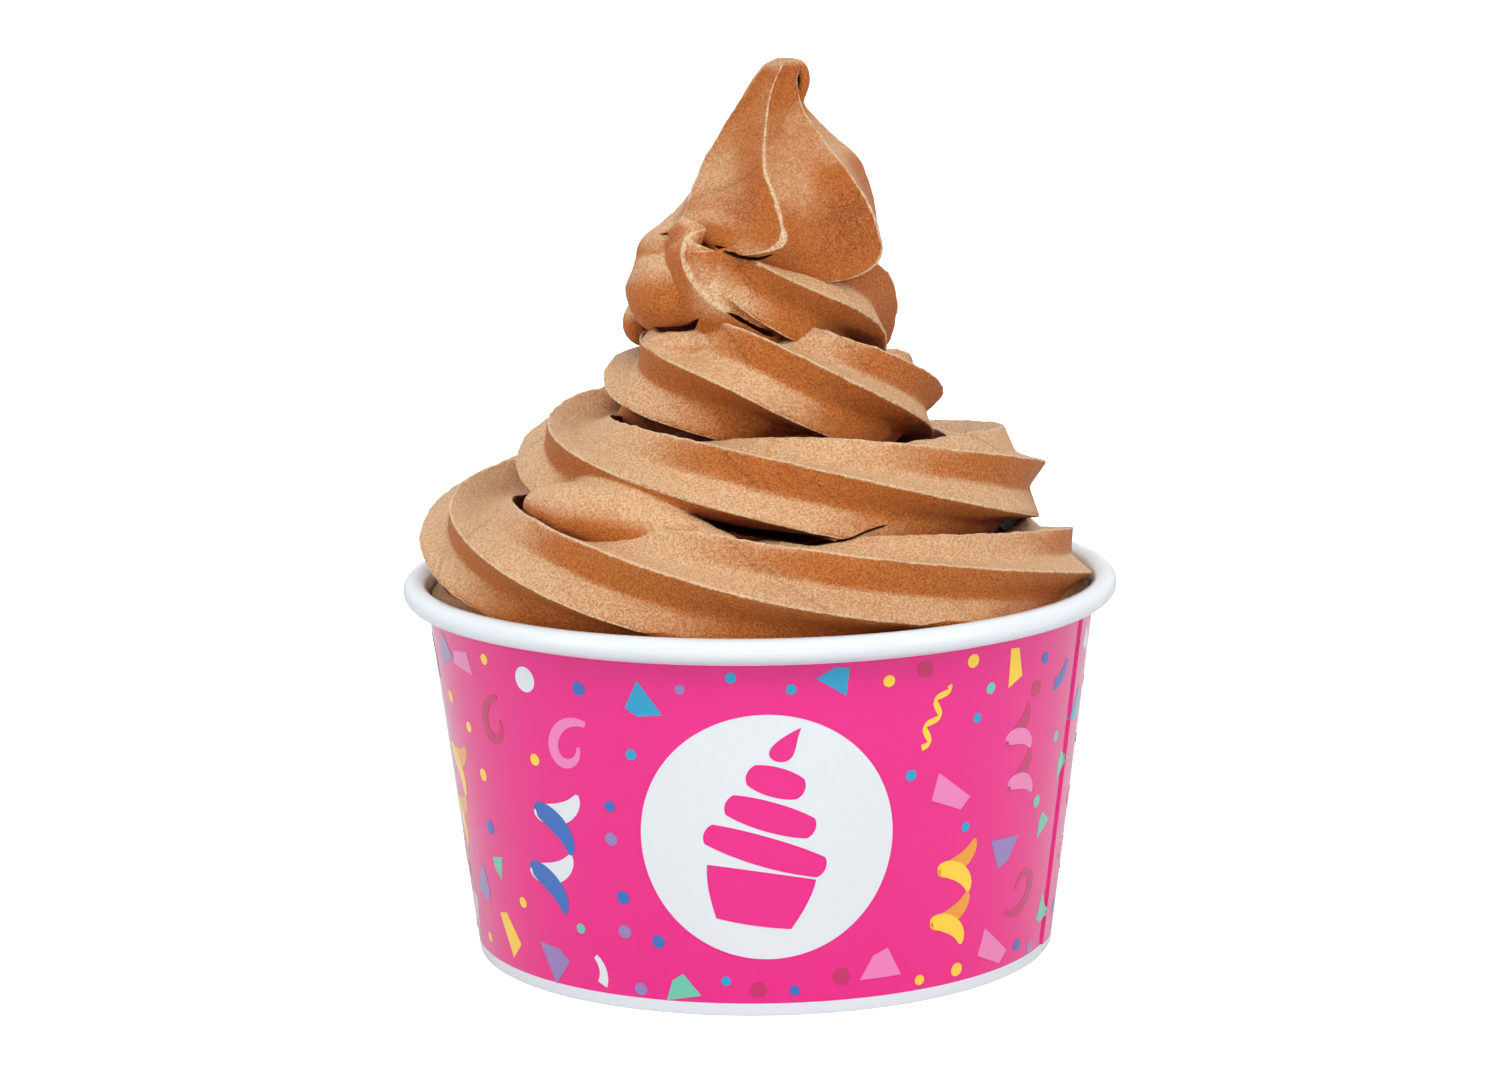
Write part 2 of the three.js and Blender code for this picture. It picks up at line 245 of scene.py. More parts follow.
def store(mesh: Mesh, name: str, values: Sequence[float], kind: str = "FLOAT") -> None:
    """Stores a value at each point of a mesh.

    Args:
        mesh: The mesh.
        name: The attribute's name.
        values: One value a point, or three for a vector.
        kind: The attribute's type.
    """
    layer = mesh.attributes.new(name, kind, "POINT")
    layer.data.foreach_set("vector" if kind == "FLOAT_VECTOR" else "value", values)


def shade(target: Object, sharp_over: float) -> None:
    """Shades a mesh smooth and marks its edges sharp where it turns by more than an angle, in degrees."""
    target.data.shade_smooth()
    target.data.set_sharp_from_angle(angle=math.radians(sharp_over))


def hand_over(piece: Object, slot: Slot, *nodes: str) -> None:
    """Puts a finished piece in its body and hides the CAD nodes that it stands for.

    Args:
        piece: The finished piece.
        slot: The record's slot that its finish comes from; not used.
        nodes: CAD nodes that it replaces.
    """
    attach(piece, BODY)
    if nodes:
        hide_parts(*nodes)
    piece.data.calc_loop_triangles()
    log.info("%s: %d triangles", piece.name, len(piece.data.loop_triangles))


class Graph:
    """A node tree in the making, with short calls for the nodes that it is made of."""

    def __init__(self, tree: NodeTree) -> None:
        """Starts on a tree, whatever its kind."""
        self.tree = tree

    def add(self, kind: str, **settings: Any) -> Node:
        """Adds a node.

        Args:
            kind: The node's type name.
            settings: Values of the node's own properties.

        Returns:
            The new node.
        """
        node = self.tree.nodes.new(kind)
        for key, value in settings.items():
            setattr(node, key, value)
        return node

    def feed(self, socket: NodeSocket, value: Any) -> None:
        """Links an output to an input, or sets the input's own value."""
        if isinstance(value, NodeSocket):
            self.tree.links.new(value, socket)
        else:
            socket.default_value = value

    def fill(self, node: Node, inputs: dict[Any, Any]) -> None:
        """Feeds a node's inputs, each by its name or number."""
        for key, value in inputs.items():
            self.feed(node.inputs[key], value)

    def call(self, kind: str, inputs: dict[Any, Any], out: str | int = 0, **settings: Any) -> NodeSocket:
        """Adds a node, feeds its inputs and gives one of its outputs.

        Args:
            kind: The node's type name.
            inputs: Inputs by name or number, each an output or a value.
            out: Name or number of the output to give.
            settings: Values of the node's own properties.

        Returns:
            The output.
        """
        node = self.add(kind, **settings)
        self.fill(node, inputs)
        return node.outputs[out]

    def math(self, operation: str, *values: Any) -> NodeSocket:
        """A Math node on one or two values."""
        return self.call("ShaderNodeMath", dict(enumerate(values)), operation=operation)

    def plus(self, one: Any, other: Any) -> NodeSocket:
        """One value added to another."""
        return self.math("ADD", one, other)

    def minus(self, one: Any, other: Any) -> NodeSocket:
        """One value less another."""
        return self.math("SUBTRACT", one, other)

    def times(self, one: Any, other: Any) -> NodeSocket:
        """One value times another."""
        return self.math("MULTIPLY", one, other)

    def over(self, one: Any, other: Any) -> NodeSocket:
        """One value divided by another."""
        return self.math("DIVIDE", one, other)

    def vector(self, operation: str, *values: Any) -> NodeSocket:
        """A Vector Math node on one or two vectors."""
        return self.call("ShaderNodeVectorMath", dict(enumerate(values)), operation=operation)

    def scaled(self, vector: Any, by: Any) -> NodeSocket:
        """A vector times a number."""
        return self.call("ShaderNodeVectorMath", {0: vector, "Scale": by}, operation="SCALE")

    def mix(self, factor: Any, first: Any, second: Any) -> NodeSocket:
        """A colour mix: the first colour at factor 0, the second at 1."""
        inputs = {"Factor": factor, FIRST_COLOUR: first, SECOND_COLOUR: second}
        return self.call("ShaderNodeMix", inputs, MIXED_COLOUR, data_type="RGBA")

    def ramp(self, value: Any, low: Any, high: Any, to_low: float = 0.0, to_high: float = 1.0) -> NodeSocket:
        """A smooth step from to_low at low to to_high at high."""
        inputs = {"Value": value, "From Min": low, "From Max": high, "To Min": to_low, "To Max": to_high}
        return self.call("ShaderNodeMapRange", inputs, "Result", interpolation_type="SMOOTHSTEP")

    def noise(self, where: Any, scale: float, detail: float, rough: float, seed: Any) -> NodeSocket:
        """Noise from 0 to 1, its scale in cells to the metre."""
        inputs = {"Vector": where, "W": seed, "Scale": scale, "Detail": detail, "Roughness": rough}
        return self.call("ShaderNodeTexNoise", inputs, noise_dimensions="4D")

    def speckle(self, where: Any, cell: float, detail: float, rough: float, seed: float) -> NodeSocket:
        """Noise from 0 to 1, its cells a number of millimetres across."""
        return self.noise(where, 1 / (cell * MM), detail, rough, seed)

    def shown(self, name: str) -> NodeSocket:
        """A number stored on the mesh, as a material reads it."""
        return self.call("ShaderNodeAttribute", {}, "Fac", attribute_name=name)

    def named(self, name: str, kind: str = "FLOAT") -> NodeSocket:
        """A value stored on the mesh, as Geometry Nodes reads it."""
        return self.call("GeometryNodeInputNamedAttribute", {"Name": name}, "Attribute", data_type=kind)


def new_material(name: str) -> tuple[Material, Graph, Node]:
    """Starts a material: gives it, its graph and its shader."""
    material = bpy.data.materials.new(name)
    material.use_nodes = True
    return material, Graph(material.node_tree), material.node_tree.nodes["Principled BSDF"]


def new_tree(name: str, kind: str, inputs: dict[str, str], outputs: dict[str, str]) -> tuple[Graph, Any, Any]:
    """Starts a node group.

    Args:
        name: Name of the group.
        kind: GeometryNodeTree or ShaderNodeTree.
        inputs: Each input's kind of value, by name.
        outputs: Each output's kind of value, by name.

    Returns:
        The graph, the outputs of its Group Input node and the inputs of its Group Output node.
    """
    tree = bpy.data.node_groups.new(name, kind)
    for way, sockets in (("INPUT", inputs), ("OUTPUT", outputs)):
        for key, value in sockets.items():
            tree.interface.new_socket(key, in_out=way, socket_type="NodeSocket" + value)
    graph = Graph(tree)
    return graph, graph.add("NodeGroupInput").outputs, graph.add("NodeGroupOutput").inputs


def grown(name: str, tree: NodeTree, cloud: Mesh, **values: Any) -> Object:
    """Makes an object by running a Geometry Nodes tree on points.

    Args:
        name: Name of the new object.
        tree: The tree.
        cloud: The points, with what the tree reads from them.
        values: The tree's inputs by name, with _ for a space.

    Returns:
        The plain object that the tree makes.
    """
    source = new_object(name + "_points", cloud)
    modifier = source.modifiers.new(tree.name, "NODES")
    modifier.node_group = tree
    for item in tree.interface.items_tree:
        key = item.name.replace(" ", "_")
        if item.item_type == "SOCKET" and item.in_out == "INPUT" and key in values:
            modifier[item.identifier] = values[key]
    return evaluated(source, name)


# ---- the swept star --------------------------------------------------------------------------------


@dataclass(frozen=True)
class Ring:
    """One star section on the way of a sweep, in millimetres and radians."""

    centre: Vector
    side: Vector
    rise: Vector
    size: float
    roll: float
    valley: float
    along: float = 0.0


@dataclass
class StarSweep:
    """Sweeps the nozzle's star over a row of rings: crisp crests, soft hollows between, and a lived-in surface."""

    crests: int = 6
    points_a_crest: int = 18
    bunching: float = 1.7
    crest_round: float = 1.5
    hollow_round: float = 3.5
    wave: float = 0.36
    wave_cell: float = 7.0
    ragged: float = 0.34
    ragged_cell: float = 1.7
    ragged_band: float = 5.0
    # the share of the ragged band that gets the painted crest highlight
    pale_share: float = 0.45
    seed: float = 4.0

    def __post_init__(self) -> None:
        """Builds the tree once."""
        self.tree = self._tree()

    def _tree(self) -> NodeTree:
        """The Geometry Nodes tree: a grid laid over the rings, its columns round the star.

        Returns:
            The tree.
        """
        numbers = ("Bunching", "Crest round", "Hollow round", "Wave", "Wave cell", "Ragged", "Ragged cell")
        numbers += ("Ragged band", "Pale band", "Seed")
        inputs = {"Rings": "Geometry", "Crests": "Int", "Points": "Int", **dict.fromkeys(numbers, "Float")}
        inputs["Finish"] = "Material"
        g, given, out = new_tree("star_sweep", "GeometryNodeTree", inputs, {"Geometry": "Geometry"})
        rings, points, crests = given["Rings"], given["Points"], given["Crests"]
        count = g.call("GeometryNodeAttributeDomainSize", {"Geometry": rings}, "Point Count", component="MESH")
        across = g.plus(points, 1.0)
        cells = {"Size X": 1.0, "Size Y": 1.0, "Vertices X": count, "Vertices Y": across}
        grid = g.call("GeometryNodeMeshGrid", cells, "Mesh")
        index = g.call("GeometryNodeInputIndex", {})
        row = g.math("FLOOR", g.over(g.plus(index, 0.5), across))
        step = g.minus(index, g.times(row, across))

        def of_ring(value: NodeSocket, kind: str) -> NodeSocket:
            """What a value is at the row's ring."""
            inputs = {"Geometry": rings, "Value": value, "Index": row}
            return g.call("GeometryNodeSampleIndex", inputs, data_type=kind, domain="POINT")

        centre = of_ring(g.call("GeometryNodeInputPosition", {}), "FLOAT_VECTOR")
        side, rise = (of_ring(g.named(name, "FLOAT_VECTOR"), "FLOAT_VECTOR") for name in ("side", "rise"))
        size, roll, valley, along = (of_ring(g.named(name), "FLOAT") for name in ("size", "roll", "valley", "along"))

        # the column's place between two crests, bunched towards the crest: -0.5 to 0.5, with the crest at 0
        turn = g.over(g.times(step, crests), points)
        near = g.math("FLOOR", g.plus(turn, 0.5))
        off = g.minus(turn, near)
        far = g.math("POWER", g.times(g.math("ABSOLUTE", off), 2.0), given["Bunching"])
        bunched = g.times(far, 0.5)
        signed = g.times(bunched, g.math("SIGN", off))
        sector = g.over(TWO_PI, crests)
        theta = g.times(g.plus(near, signed), sector)
        fold = g.times(bunched, sector)

        # the star's flank is a straight line from crest to hollow, rounded at both
        half = g.times(sector, 0.5)
        crest_round, hollow_round = given["Crest round"], given["Hollow round"]

        def rounded(value: NodeSocket, by: NodeSocket) -> NodeSocket:
            """The length of value and by as the two legs of a right angle."""
            return g.math("SQRT", g.plus(g.times(value, value), g.times(by, by)))

        from_crest = rounded(fold, crest_round)
        from_hollow = rounded(g.minus(half, from_crest), hollow_round)
        flank = g.minus(half, from_hollow)
        top = g.times(valley, g.math("SINE", half))
        under = g.plus(g.times(valley, g.math("SINE", from_hollow)), g.math("SINE", flank))
        reach = g.over(g.times(size, top), under)

        angle = g.plus(roll, theta)
        cosine, sine = g.math("COSINE", angle), g.math("SINE", angle)
        toward = g.vector("ADD", g.scaled(side, cosine), g.scaled(rise, sine))
        spot = g.vector("ADD", centre, g.scaled(toward, reach))

        # soft unevenness all over, and small nicks along the crests
        def uneven(cell: NodeSocket, amount: Any, detail: float) -> NodeSocket:
            """Noise of a cell size, from minus amount to plus amount."""
            value = g.noise(g.scaled(spot, g.over(1.0, cell)), 1.0, detail, 0.5, given["Seed"])
            return g.times(g.minus(g.times(value, 2.0), 1.0), amount)

        nicked = g.times(given["Ragged"], g.ramp(fold, 0.0, given["Ragged band"], 1.0, 0.0))
        shift = g.plus(uneven(given["Wave cell"], given["Wave"], 2.0), uneven(given["Ragged cell"], nicked, 1.0))
        alive = g.math("MINIMUM", g.times(size, 1 / MM), 1.0)
        final = g.vector("ADD", spot, g.scaled(g.vector("NORMALIZE", toward), g.times(shift, alive)))

        def stored(laid: NodeSocket, name: str, value: NodeSocket, kind: str, domain: str) -> NodeSocket:
            """The geometry with a value stored on it."""
            inputs = {"Geometry": laid, "Name": name, "Value": value}
            return g.call("GeometryNodeStoreNamedAttribute", inputs, data_type=kind, domain=domain)

        laid = g.call("GeometryNodeSetPosition", {"Geometry": grid, "Position": final})
        uv = g.call("ShaderNodeCombineXYZ", {"X": along, "Y": g.times(theta, 0.01)})
        laid = stored(laid, "lay", uv, "FLOAT2", "CORNER")
        # crest: a mask next to each crest, which the material paints as a highlight
        laid = stored(laid, "crest", g.ramp(fold, 0.0, given["Pale band"], 1.0, 0.0), "FLOAT", "POINT")
        whole = g.call("GeometryNodeMergeByDistance", {"Geometry": laid, "Distance": HAIR})
        smooth = g.call("GeometryNodeSetShadeSmooth", {"Geometry": whole})
        real = g.call("GeometryNodeRealizeInstances", {"Geometry": smooth})
        g.feed(out["Geometry"], g.call("GeometryNodeSetMaterial", {"Geometry": real, "Material": given["Finish"]}))
        return g.tree

    def build(self, name: str, rings: Sequence[Ring], finish: Material) -> Object:
        """Sweeps the star over rings, and closes both ends.

        Args:
            name: Name of the new object.
            rings: The rings, in order.
            finish: The material.

        Returns:
            A closed object.
        """
        sections = [self._end(rings[0]), *rings, self._end(rings[-1])]
        guide = bpy.data.meshes.new(name)
        guide.from_pydata([ring.centre * MM for ring in sections], [], [])
        for key in ("side", "rise"):
            store(guide, key, [value for ring in sections for value in getattr(ring, key)], "FLOAT_VECTOR")
        for key, unit in (("size", MM), ("roll", 1.0), ("valley", 1.0), ("along", MM)):
            store(guide, key, [getattr(ring, key) * unit for ring in sections])
        made = grown(
            name,
            self.tree,
            guide,
            Crests=self.crests,
            Points=self.crests * self.points_a_crest,
            Bunching=self.bunching,
            Crest_round=math.radians(self.crest_round),
            Hollow_round=math.radians(self.hollow_round),
            Wave=self.wave * MM,
            Wave_cell=self.wave_cell * MM,
            Ragged=self.ragged * MM,
            Ragged_cell=self.ragged_cell * MM,
            Ragged_band=math.radians(self.ragged_band),
            Pale_band=math.radians(self.ragged_band * self.pale_share),
            Seed=self.seed,
            Finish=finish,
        )
        clean(made)
        return made

    @staticmethod
    def _end(ring: Ring) -> Ring:
        """The ring shrunk to its centre, which closes an end of the sweep."""
        return replace(ring, size=0.0)


# ---- the yogurt ------------------------------------------------------------------------------------


@dataclass(frozen=True)
class YogurtFinish:
    """Brown frozen yogurt: icy grain, painted top light and sheen on what faces up, painted highlights along the crests
    and in patches, and painted shade on the peak, in patches and in the hollows, which turns them deep brown.
    """

    # painted shade colours: umber for the most closed-in hollows, russet for hollows and for the painted shade patches
    umber: Colour = linear(100, 48, 32)
    russet: Colour = linear(150, 66, 28)
    deep: Colour = linear(178, 92, 38)
    warm: Colour = linear(213, 131, 63)
    # painted top light and painted highlight: the two paler colours below are given to what faces up, and the palest is
    # also painted along the crests and in the highlight patches
    cream: Colour = linear(219, 158, 101)
    frost: Colour = linear(248, 220, 180)
    # sizes of the grain, the crystals, the broad patches of the painted top light and the breaks in the painted crest
    # highlights, in millimetres
    grain_cell: float = 0.34
    crystal_cell: float = 0.19
    broad_cell: float = 9.0
    chip_cell: float = 1.5
    # the nozzle's fine drag marks, in cells to the metre along the rope and round it
    drag_scale: Place = (45.0, 2200.0, 1.0)
    relief: float = 1.0
    # heights over which the peak gets painted shade, how much that darkens it, and how much of the painted top light it
    # loses
    fresh_band: Pair = (103.0, 116.0)
    fresh_depth: float = 0.25
    fresh_loss: float = 0.24
    # where a ramp starts and ends, and the values it gives there
    speck_band: Pair = (0.36, 0.64)
    rich_band: Pair = (0.4, 0.68)
    frost_band: tuple[float, ...] = (0.1, 0.72, 0.0, 0.8)
    crest_band: Pair = (0.3, 0.9)
    crest_grain: tuple[float, ...] = (0.3, 0.6, 0.35, 0.95)
    crest_core: Pair = (0.0, 0.3)
    russet_band: tuple[float, ...] = (0.6, 0.86, 0.0, 0.8)
    umber_band: tuple[float, ...] = (0.74, 0.96, 0.0, 0.9)
    gloss_band: tuple[float, ...] = (0.3, 0.75, 0.58, 0.31)
    patchy: float = 0.35
    chipped: float = 1.2

    def build(self) -> Material:
        """Makes the material.

        Returns:
            The material.
        """
        material, g, shader = new_material("frozen_yogurt_brown")
        place = g.call("ShaderNodeTexCoord", {}, "Object")
        grain = g.speckle(place, self.grain_cell, 2.0, 0.6, 1.0)
        crystal = g.speckle(place, self.crystal_cell, 1.0, 0.5, 2.0)
        broad = g.speckle(place, self.broad_cell, 2.0, 0.5, 3.0)
        lay = g.call("ShaderNodeUVMap", {}, "UV", uv_map="lay")
        drag = g.noise(g.vector("MULTIPLY", lay, self.drag_scale), 1.0, 2.0, 0.6, 4.0)
        # noise that breaks up the painted crest highlights
        chips = g.speckle(place, self.chip_cell, 2.0, 0.6, 5.0)
        crest, hollow, bloom = (g.shown(name) for name in ("crest", "hollow", "bloom"))
        up = g.call("ShaderNodeSeparateXYZ", {"Vector": g.call("ShaderNodeNewGeometry", {}, "Normal")}, "Z")
        level = g.call("ShaderNodeSeparateXYZ", {"Vector": place}, "Z")
        peak_shade = g.ramp(level, *(height * MM for height in self.fresh_band))

        # the two grounds: the grainy base colour, and a paler one with painted top light and sheen for what faces up
        speck = g.plus(g.times(grain, 0.7), g.times(crystal, 0.3))
        shaded = g.mix(g.ramp(speck, *self.speck_band), self.deep, self.warm)
        # painted shade: the peak is painted darker towards its top
        shaded = g.mix(g.times(peak_shade, self.fresh_depth), shaded, self.deep)
        top_lit_ground = g.mix(g.ramp(speck, *self.speck_band), self.cream, self.frost)
        # painted top light: how much a point faces up, shifted at random by broad noise, sets how pale it is painted
        tilt = g.plus(up, g.times(g.minus(broad, 0.5), self.patchy))
        # the peak also gets less painted top light
        tilt = g.minus(tilt, g.times(peak_shade, self.fresh_loss))
        colour = g.mix(g.ramp(tilt, *self.frost_band), shaded, top_lit_ground)

        # painted patches: painted highlight where the mark is above 0, painted shade in a deeper colour where it is
        # below 0
        colour = g.mix(g.math("MAXIMUM", bloom, 0.0), colour, top_lit_ground)
        # the colour of the painted shade patches
        shade_patch = g.mix(g.ramp(speck, *self.rich_band), self.russet, self.warm)
        colour = g.mix(g.math("MAXIMUM", g.times(bloom, -1.0), 0.0), colour, shade_patch)

        # painted highlights along the crests, broken up by noise, and painted shade that darkens the hollows in two
        # steps
        crest_highlight_reach = g.plus(crest, g.times(g.minus(chips, 0.5), self.chipped))
        crest_highlight = g.times(g.ramp(crest_highlight_reach, *self.crest_band), g.ramp(grain, *self.crest_grain))
        crest_highlight = g.times(crest_highlight, g.ramp(crest, *self.crest_core))
        colour = g.mix(crest_highlight, colour, self.frost)
        colour = g.mix(g.ramp(hollow, *self.russet_band), colour, self.russet)
        colour = g.mix(g.ramp(hollow, *self.umber_band), colour, self.umber)

        height = g.plus(g.times(grain, 0.6), g.times(crystal, 0.25))
        height = g.plus(height, g.times(drag, 0.25))
        bump = g.call("ShaderNodeBump", {"Strength": 1.0, "Distance": self.relief * MM, "Height": height}, "Normal")
        g.fill(
            shader,
            {
                "Base Color": colour,
                "Roughness": g.ramp(crystal, *self.gloss_band),
                "Specular IOR Level": 0.2,
                "Subsurface Weight": 0.08,
                "Subsurface Radius": (1.0, 0.5, 0.25),
                "Subsurface Scale": MM,
                "Normal": bump,
            },
        )
        return material


@dataclass
class Rope:
    """The rope of yogurt, laid in rising turns that climb clockwise as seen from above."""

    # one row for each quarter turn, starting at the left: distance from the axis, height, rope radius and roll
    stations: tuple[tuple[float, float, float, float], ...] = (
        (44.5, 49.0, 7.5, -60),
        (44.5, 55.5, 8.5, -60),
        (44.0, 59.5, 8.5, -39),
        (43.5, 63.5, 10.5, -50),
        (43.5, 65.5, 10.0, -16),
        (39.5, 69.5, 9.0, -31),
        (36.5, 73.0, 9.5, -68),
        (30.5, 76.0, 10.5, -66),
        (28.0, 77.5, 10.0, -79),
        (25.0, 81.0, 9.0, -91),
        (20.5, 86.0, 9.0, -66),
        (13.5, 91.0, 11.2, -62),
        (13.2, 88.0, 11.6, -71),
        (14.0, 88.0, 10.4, -88),
        (11.2, 100.4, 11.6, -64),
        (10.0, 105.5, 9.0, -84),
        (9.5, 103.5, 8.5, 9),
        (8.5, 108.0, 10.0, -60),
        (3.0, 111.0, 8.0, -100),
    )
    stations_a_turn: int = 4
    first_turn: float = -0.5
    valley: float = 0.63
    squash: float = 0.95
    ring_step: float = 1.0
    turns_a_piece: float = 0.25
    probe: float = 0.002

    def __post_init__(self) -> None:
        """Reads the table's columns."""
        self.reaches, self.heights, self.sizes, self.rolls = (column(self.stations, k) for k in range(4))
        self.last_turn = self.first_turn + (len(self.stations) - 1) / self.stations_a_turn

    def station(self, turn: float) -> float:
        """Where the table is read after a number of turns."""
        return (turn - self.first_turn) * self.stations_a_turn

    def centre(self, turn: float) -> Vector:
        """Centre of the rope after a number of turns."""
        t = self.station(turn)
        bearing = -turn * TWO_PI
        reach = through(self.reaches, t)
        return Vector((reach * math.cos(bearing), reach * math.sin(bearing), through(self.heights, t)))

    def ring(self, turn: float, along: float) -> Ring:
        """The star section after a number of turns.

        Args:
            turn: Turns from the right-hand side.
            along: Length of rope so far.

        Returns:
            The ring.
        """
        t = self.station(turn)
        centre = self.centre(turn)
        ahead = (self.centre(turn + self.probe) - self.centre(turn - self.probe)).normalized()
        upward = Vector((0.0, 0.0, 1.0))
        upward = (upward - ahead * ahead.z).normalized()
        outward = upward.cross(ahead)
        if outward.dot(Vector((centre.x, centre.y, 0.0))) < 0:
            outward.negate()
        roll = math.radians(through(self.rolls, t)) + (turn - 0.25) * TWO_PI
        return Ring(centre, outward, upward * self.squash, through(self.sizes, t), roll, self.valley, along)

    def pieces(self, sweep: StarSweep, finish: Material) -> list[Object]:
        """Sweeps the rope in short pieces, end to end, so that none lies in itself.

        Args:
            sweep: The star sweep.
            finish: The material.

        Returns:
            The closed pieces.
        """
        made = []
        along = 0.0
        count = round((self.last_turn - self.first_turn) / self.turns_a_piece)
        for k in range(count):
            start = self.first_turn + k * self.turns_a_piece
            stop = start + self.turns_a_piece
            middle = self.station((start + stop) / 2)
            reach = through(self.reaches, middle) + through(self.sizes, middle)
            steps = math.ceil(TWO_PI * reach * self.turns_a_piece / self.ring_step)
            rings = []
            for i in range(steps + 1):
                turn = start + self.turns_a_piece * i / steps
                if i:
                    along += (self.centre(turn) - rings[-1].centre).length
                rings.append(self.ring(turn, along))
            made.append(sweep.build(f"rope_{k:02d}", rings, finish))
        return made


@dataclass
class Peak:
    """The pulled-up peak: a star that swells over the last turn and tapers to a folded tip."""

    # from its underside to its tip: height, axis x, radius, roll of the star, tilt to the left and depth of hollows
    stations: tuple[tuple[float, float, float, float, float, float], ...] = (
        (106.2, 1.5, 7.0, -56, 14, 0.92),
        (107.8, 1.5, 14.0, -40, 15, 0.92),
        (110.2, 1.8, 17.6, -14, 15, 0.90),
        (113.0, 3.0, 18.4, 3, 12, 0.88),
        (116.0, 4.0, 17.4, 0, 8, 0.86),
        (119.5, 4.2, 15.9, -4, 4, 0.82),
        (124.0, 4.0, 13.0, -11, 0, 0.77),
        (128.0, 3.1, 9.6, -9, 0, 0.74),
        (132.5, 2.6, 6.1, -4, 0, 0.74),
        (136.2, 3.2, 4.1, 0, 0, 0.78),
        (138.6, 4.4, 3.2, 0, 0, 0.82),
        (139.7, 5.0, 1.6, 0, 0, 0.85),
    )
    steps: int = 90
    droop_from: float = -6.0
    droop: float = 0.04
    curl_path: tuple[Pair, ...] = ((4.6, 138.4), (7.1, 138.6), (7.9, 136.2), (6.7, 132.9))
    curl_radius: float = 0.9
    curl_width: float = 1.4
    curl_steps: int = 24
    curl_sides: int = 16
    probe: float = 0.01

    def rings(self) -> list[Ring]:
        """The peak's star sections, from its underside up."""
        heights, centres, sizes, rolls, tilts, valleys = (column(self.stations, k) for k in range(6))
        rings = []
        for j in range(self.steps + 1):
            t = (len(self.stations) - 1) * j / self.steps
            centre = Vector((through(centres, t), 0.0, through(heights, t)))
            side = Vector((1.0, 0.0, -math.tan(math.radians(through(tilts, t)))))
            roll = math.radians(through(rolls, t) - 90)
            along = centre.z - self.stations[0][0]
            size, valley = through(sizes, t), through(valleys, t)
            rings.append(Ring(centre, side, Vector((0.0, 1.0, 0.0)), size, roll, valley, along))
        return rings

    def cone(self, sweep: StarSweep, finish: Material) -> Object:
        """The peak itself, its left side sunk a little.

        Args:
            sweep: The star sweep.
            finish: The yogurt's material.

        Returns:
            The closed form.
        """
        made = sweep.build("peak", self.rings(), finish)
        for vert in made.data.vertices:
            beyond = min(0.0, vert.co.x / MM - self.droop_from)
            vert.co.z -= self.droop * beyond * beyond * MM
        return made

    def curl(self) -> Object:
        """The thread at the tip, folded over to the right."""
        xs, zs = column(self.curl_path, 0), column(self.curl_path, 1)
        work = bmesh.new()
        loops = []
        for j in range(self.curl_steps + 1):
            t = (len(xs) - 1) * j / self.curl_steps
            here = Vector((through(xs, t), 0.0, through(zs, t)))
            over, up = (through(way, t + self.probe) - through(way, t - self.probe) for way in (xs, zs))
            normal = Vector((0.0, 1.0, 0.0)).cross(Vector((over, 0.0, up)).normalized())
            loop = []
            for i in range(self.curl_sides):
                angle = i * TWO_PI / self.curl_sides
                spot = here + normal * self.curl_radius * math.cos(angle)
                spot.y += self.curl_width * self.curl_radius * math.sin(angle)
                loop.append(work.verts.new(spot * MM))
            loops.append(loop)
        return lofted("curl", work, loops)


@dataclass(frozen=True)
class Lobe:
    """A soft swell of yogurt: an uneven ellipsoid, in millimetres and degrees."""

    name: str
    centre: Place
    size: Place
    turn: float = 0.0
    slant: float = 0.0
    uneven: float = 0.03
    cell: float = 5.0
    segments: int = 56
    rows: int = 36

    def build(self) -> Object:
        """Makes the closed form.

        Returns:
            The form.
        """
        work = bmesh.new()
        bmesh.ops.create_uvsphere(work, u_segments=self.segments, v_segments=self.rows, radius=1.0)
        turned = leaned(self.turn, self.slant)
        middle = Vector(self.centre)
        for vert in work.verts:
            spot = middle + turned @ Vector(a * b for a, b in zip(vert.co, self.size))
            swell = 1 + self.uneven * noise.noise(spot / self.cell)
            vert.co = (middle + (spot - middle) * swell) * MM
        return closed(self.name, work)


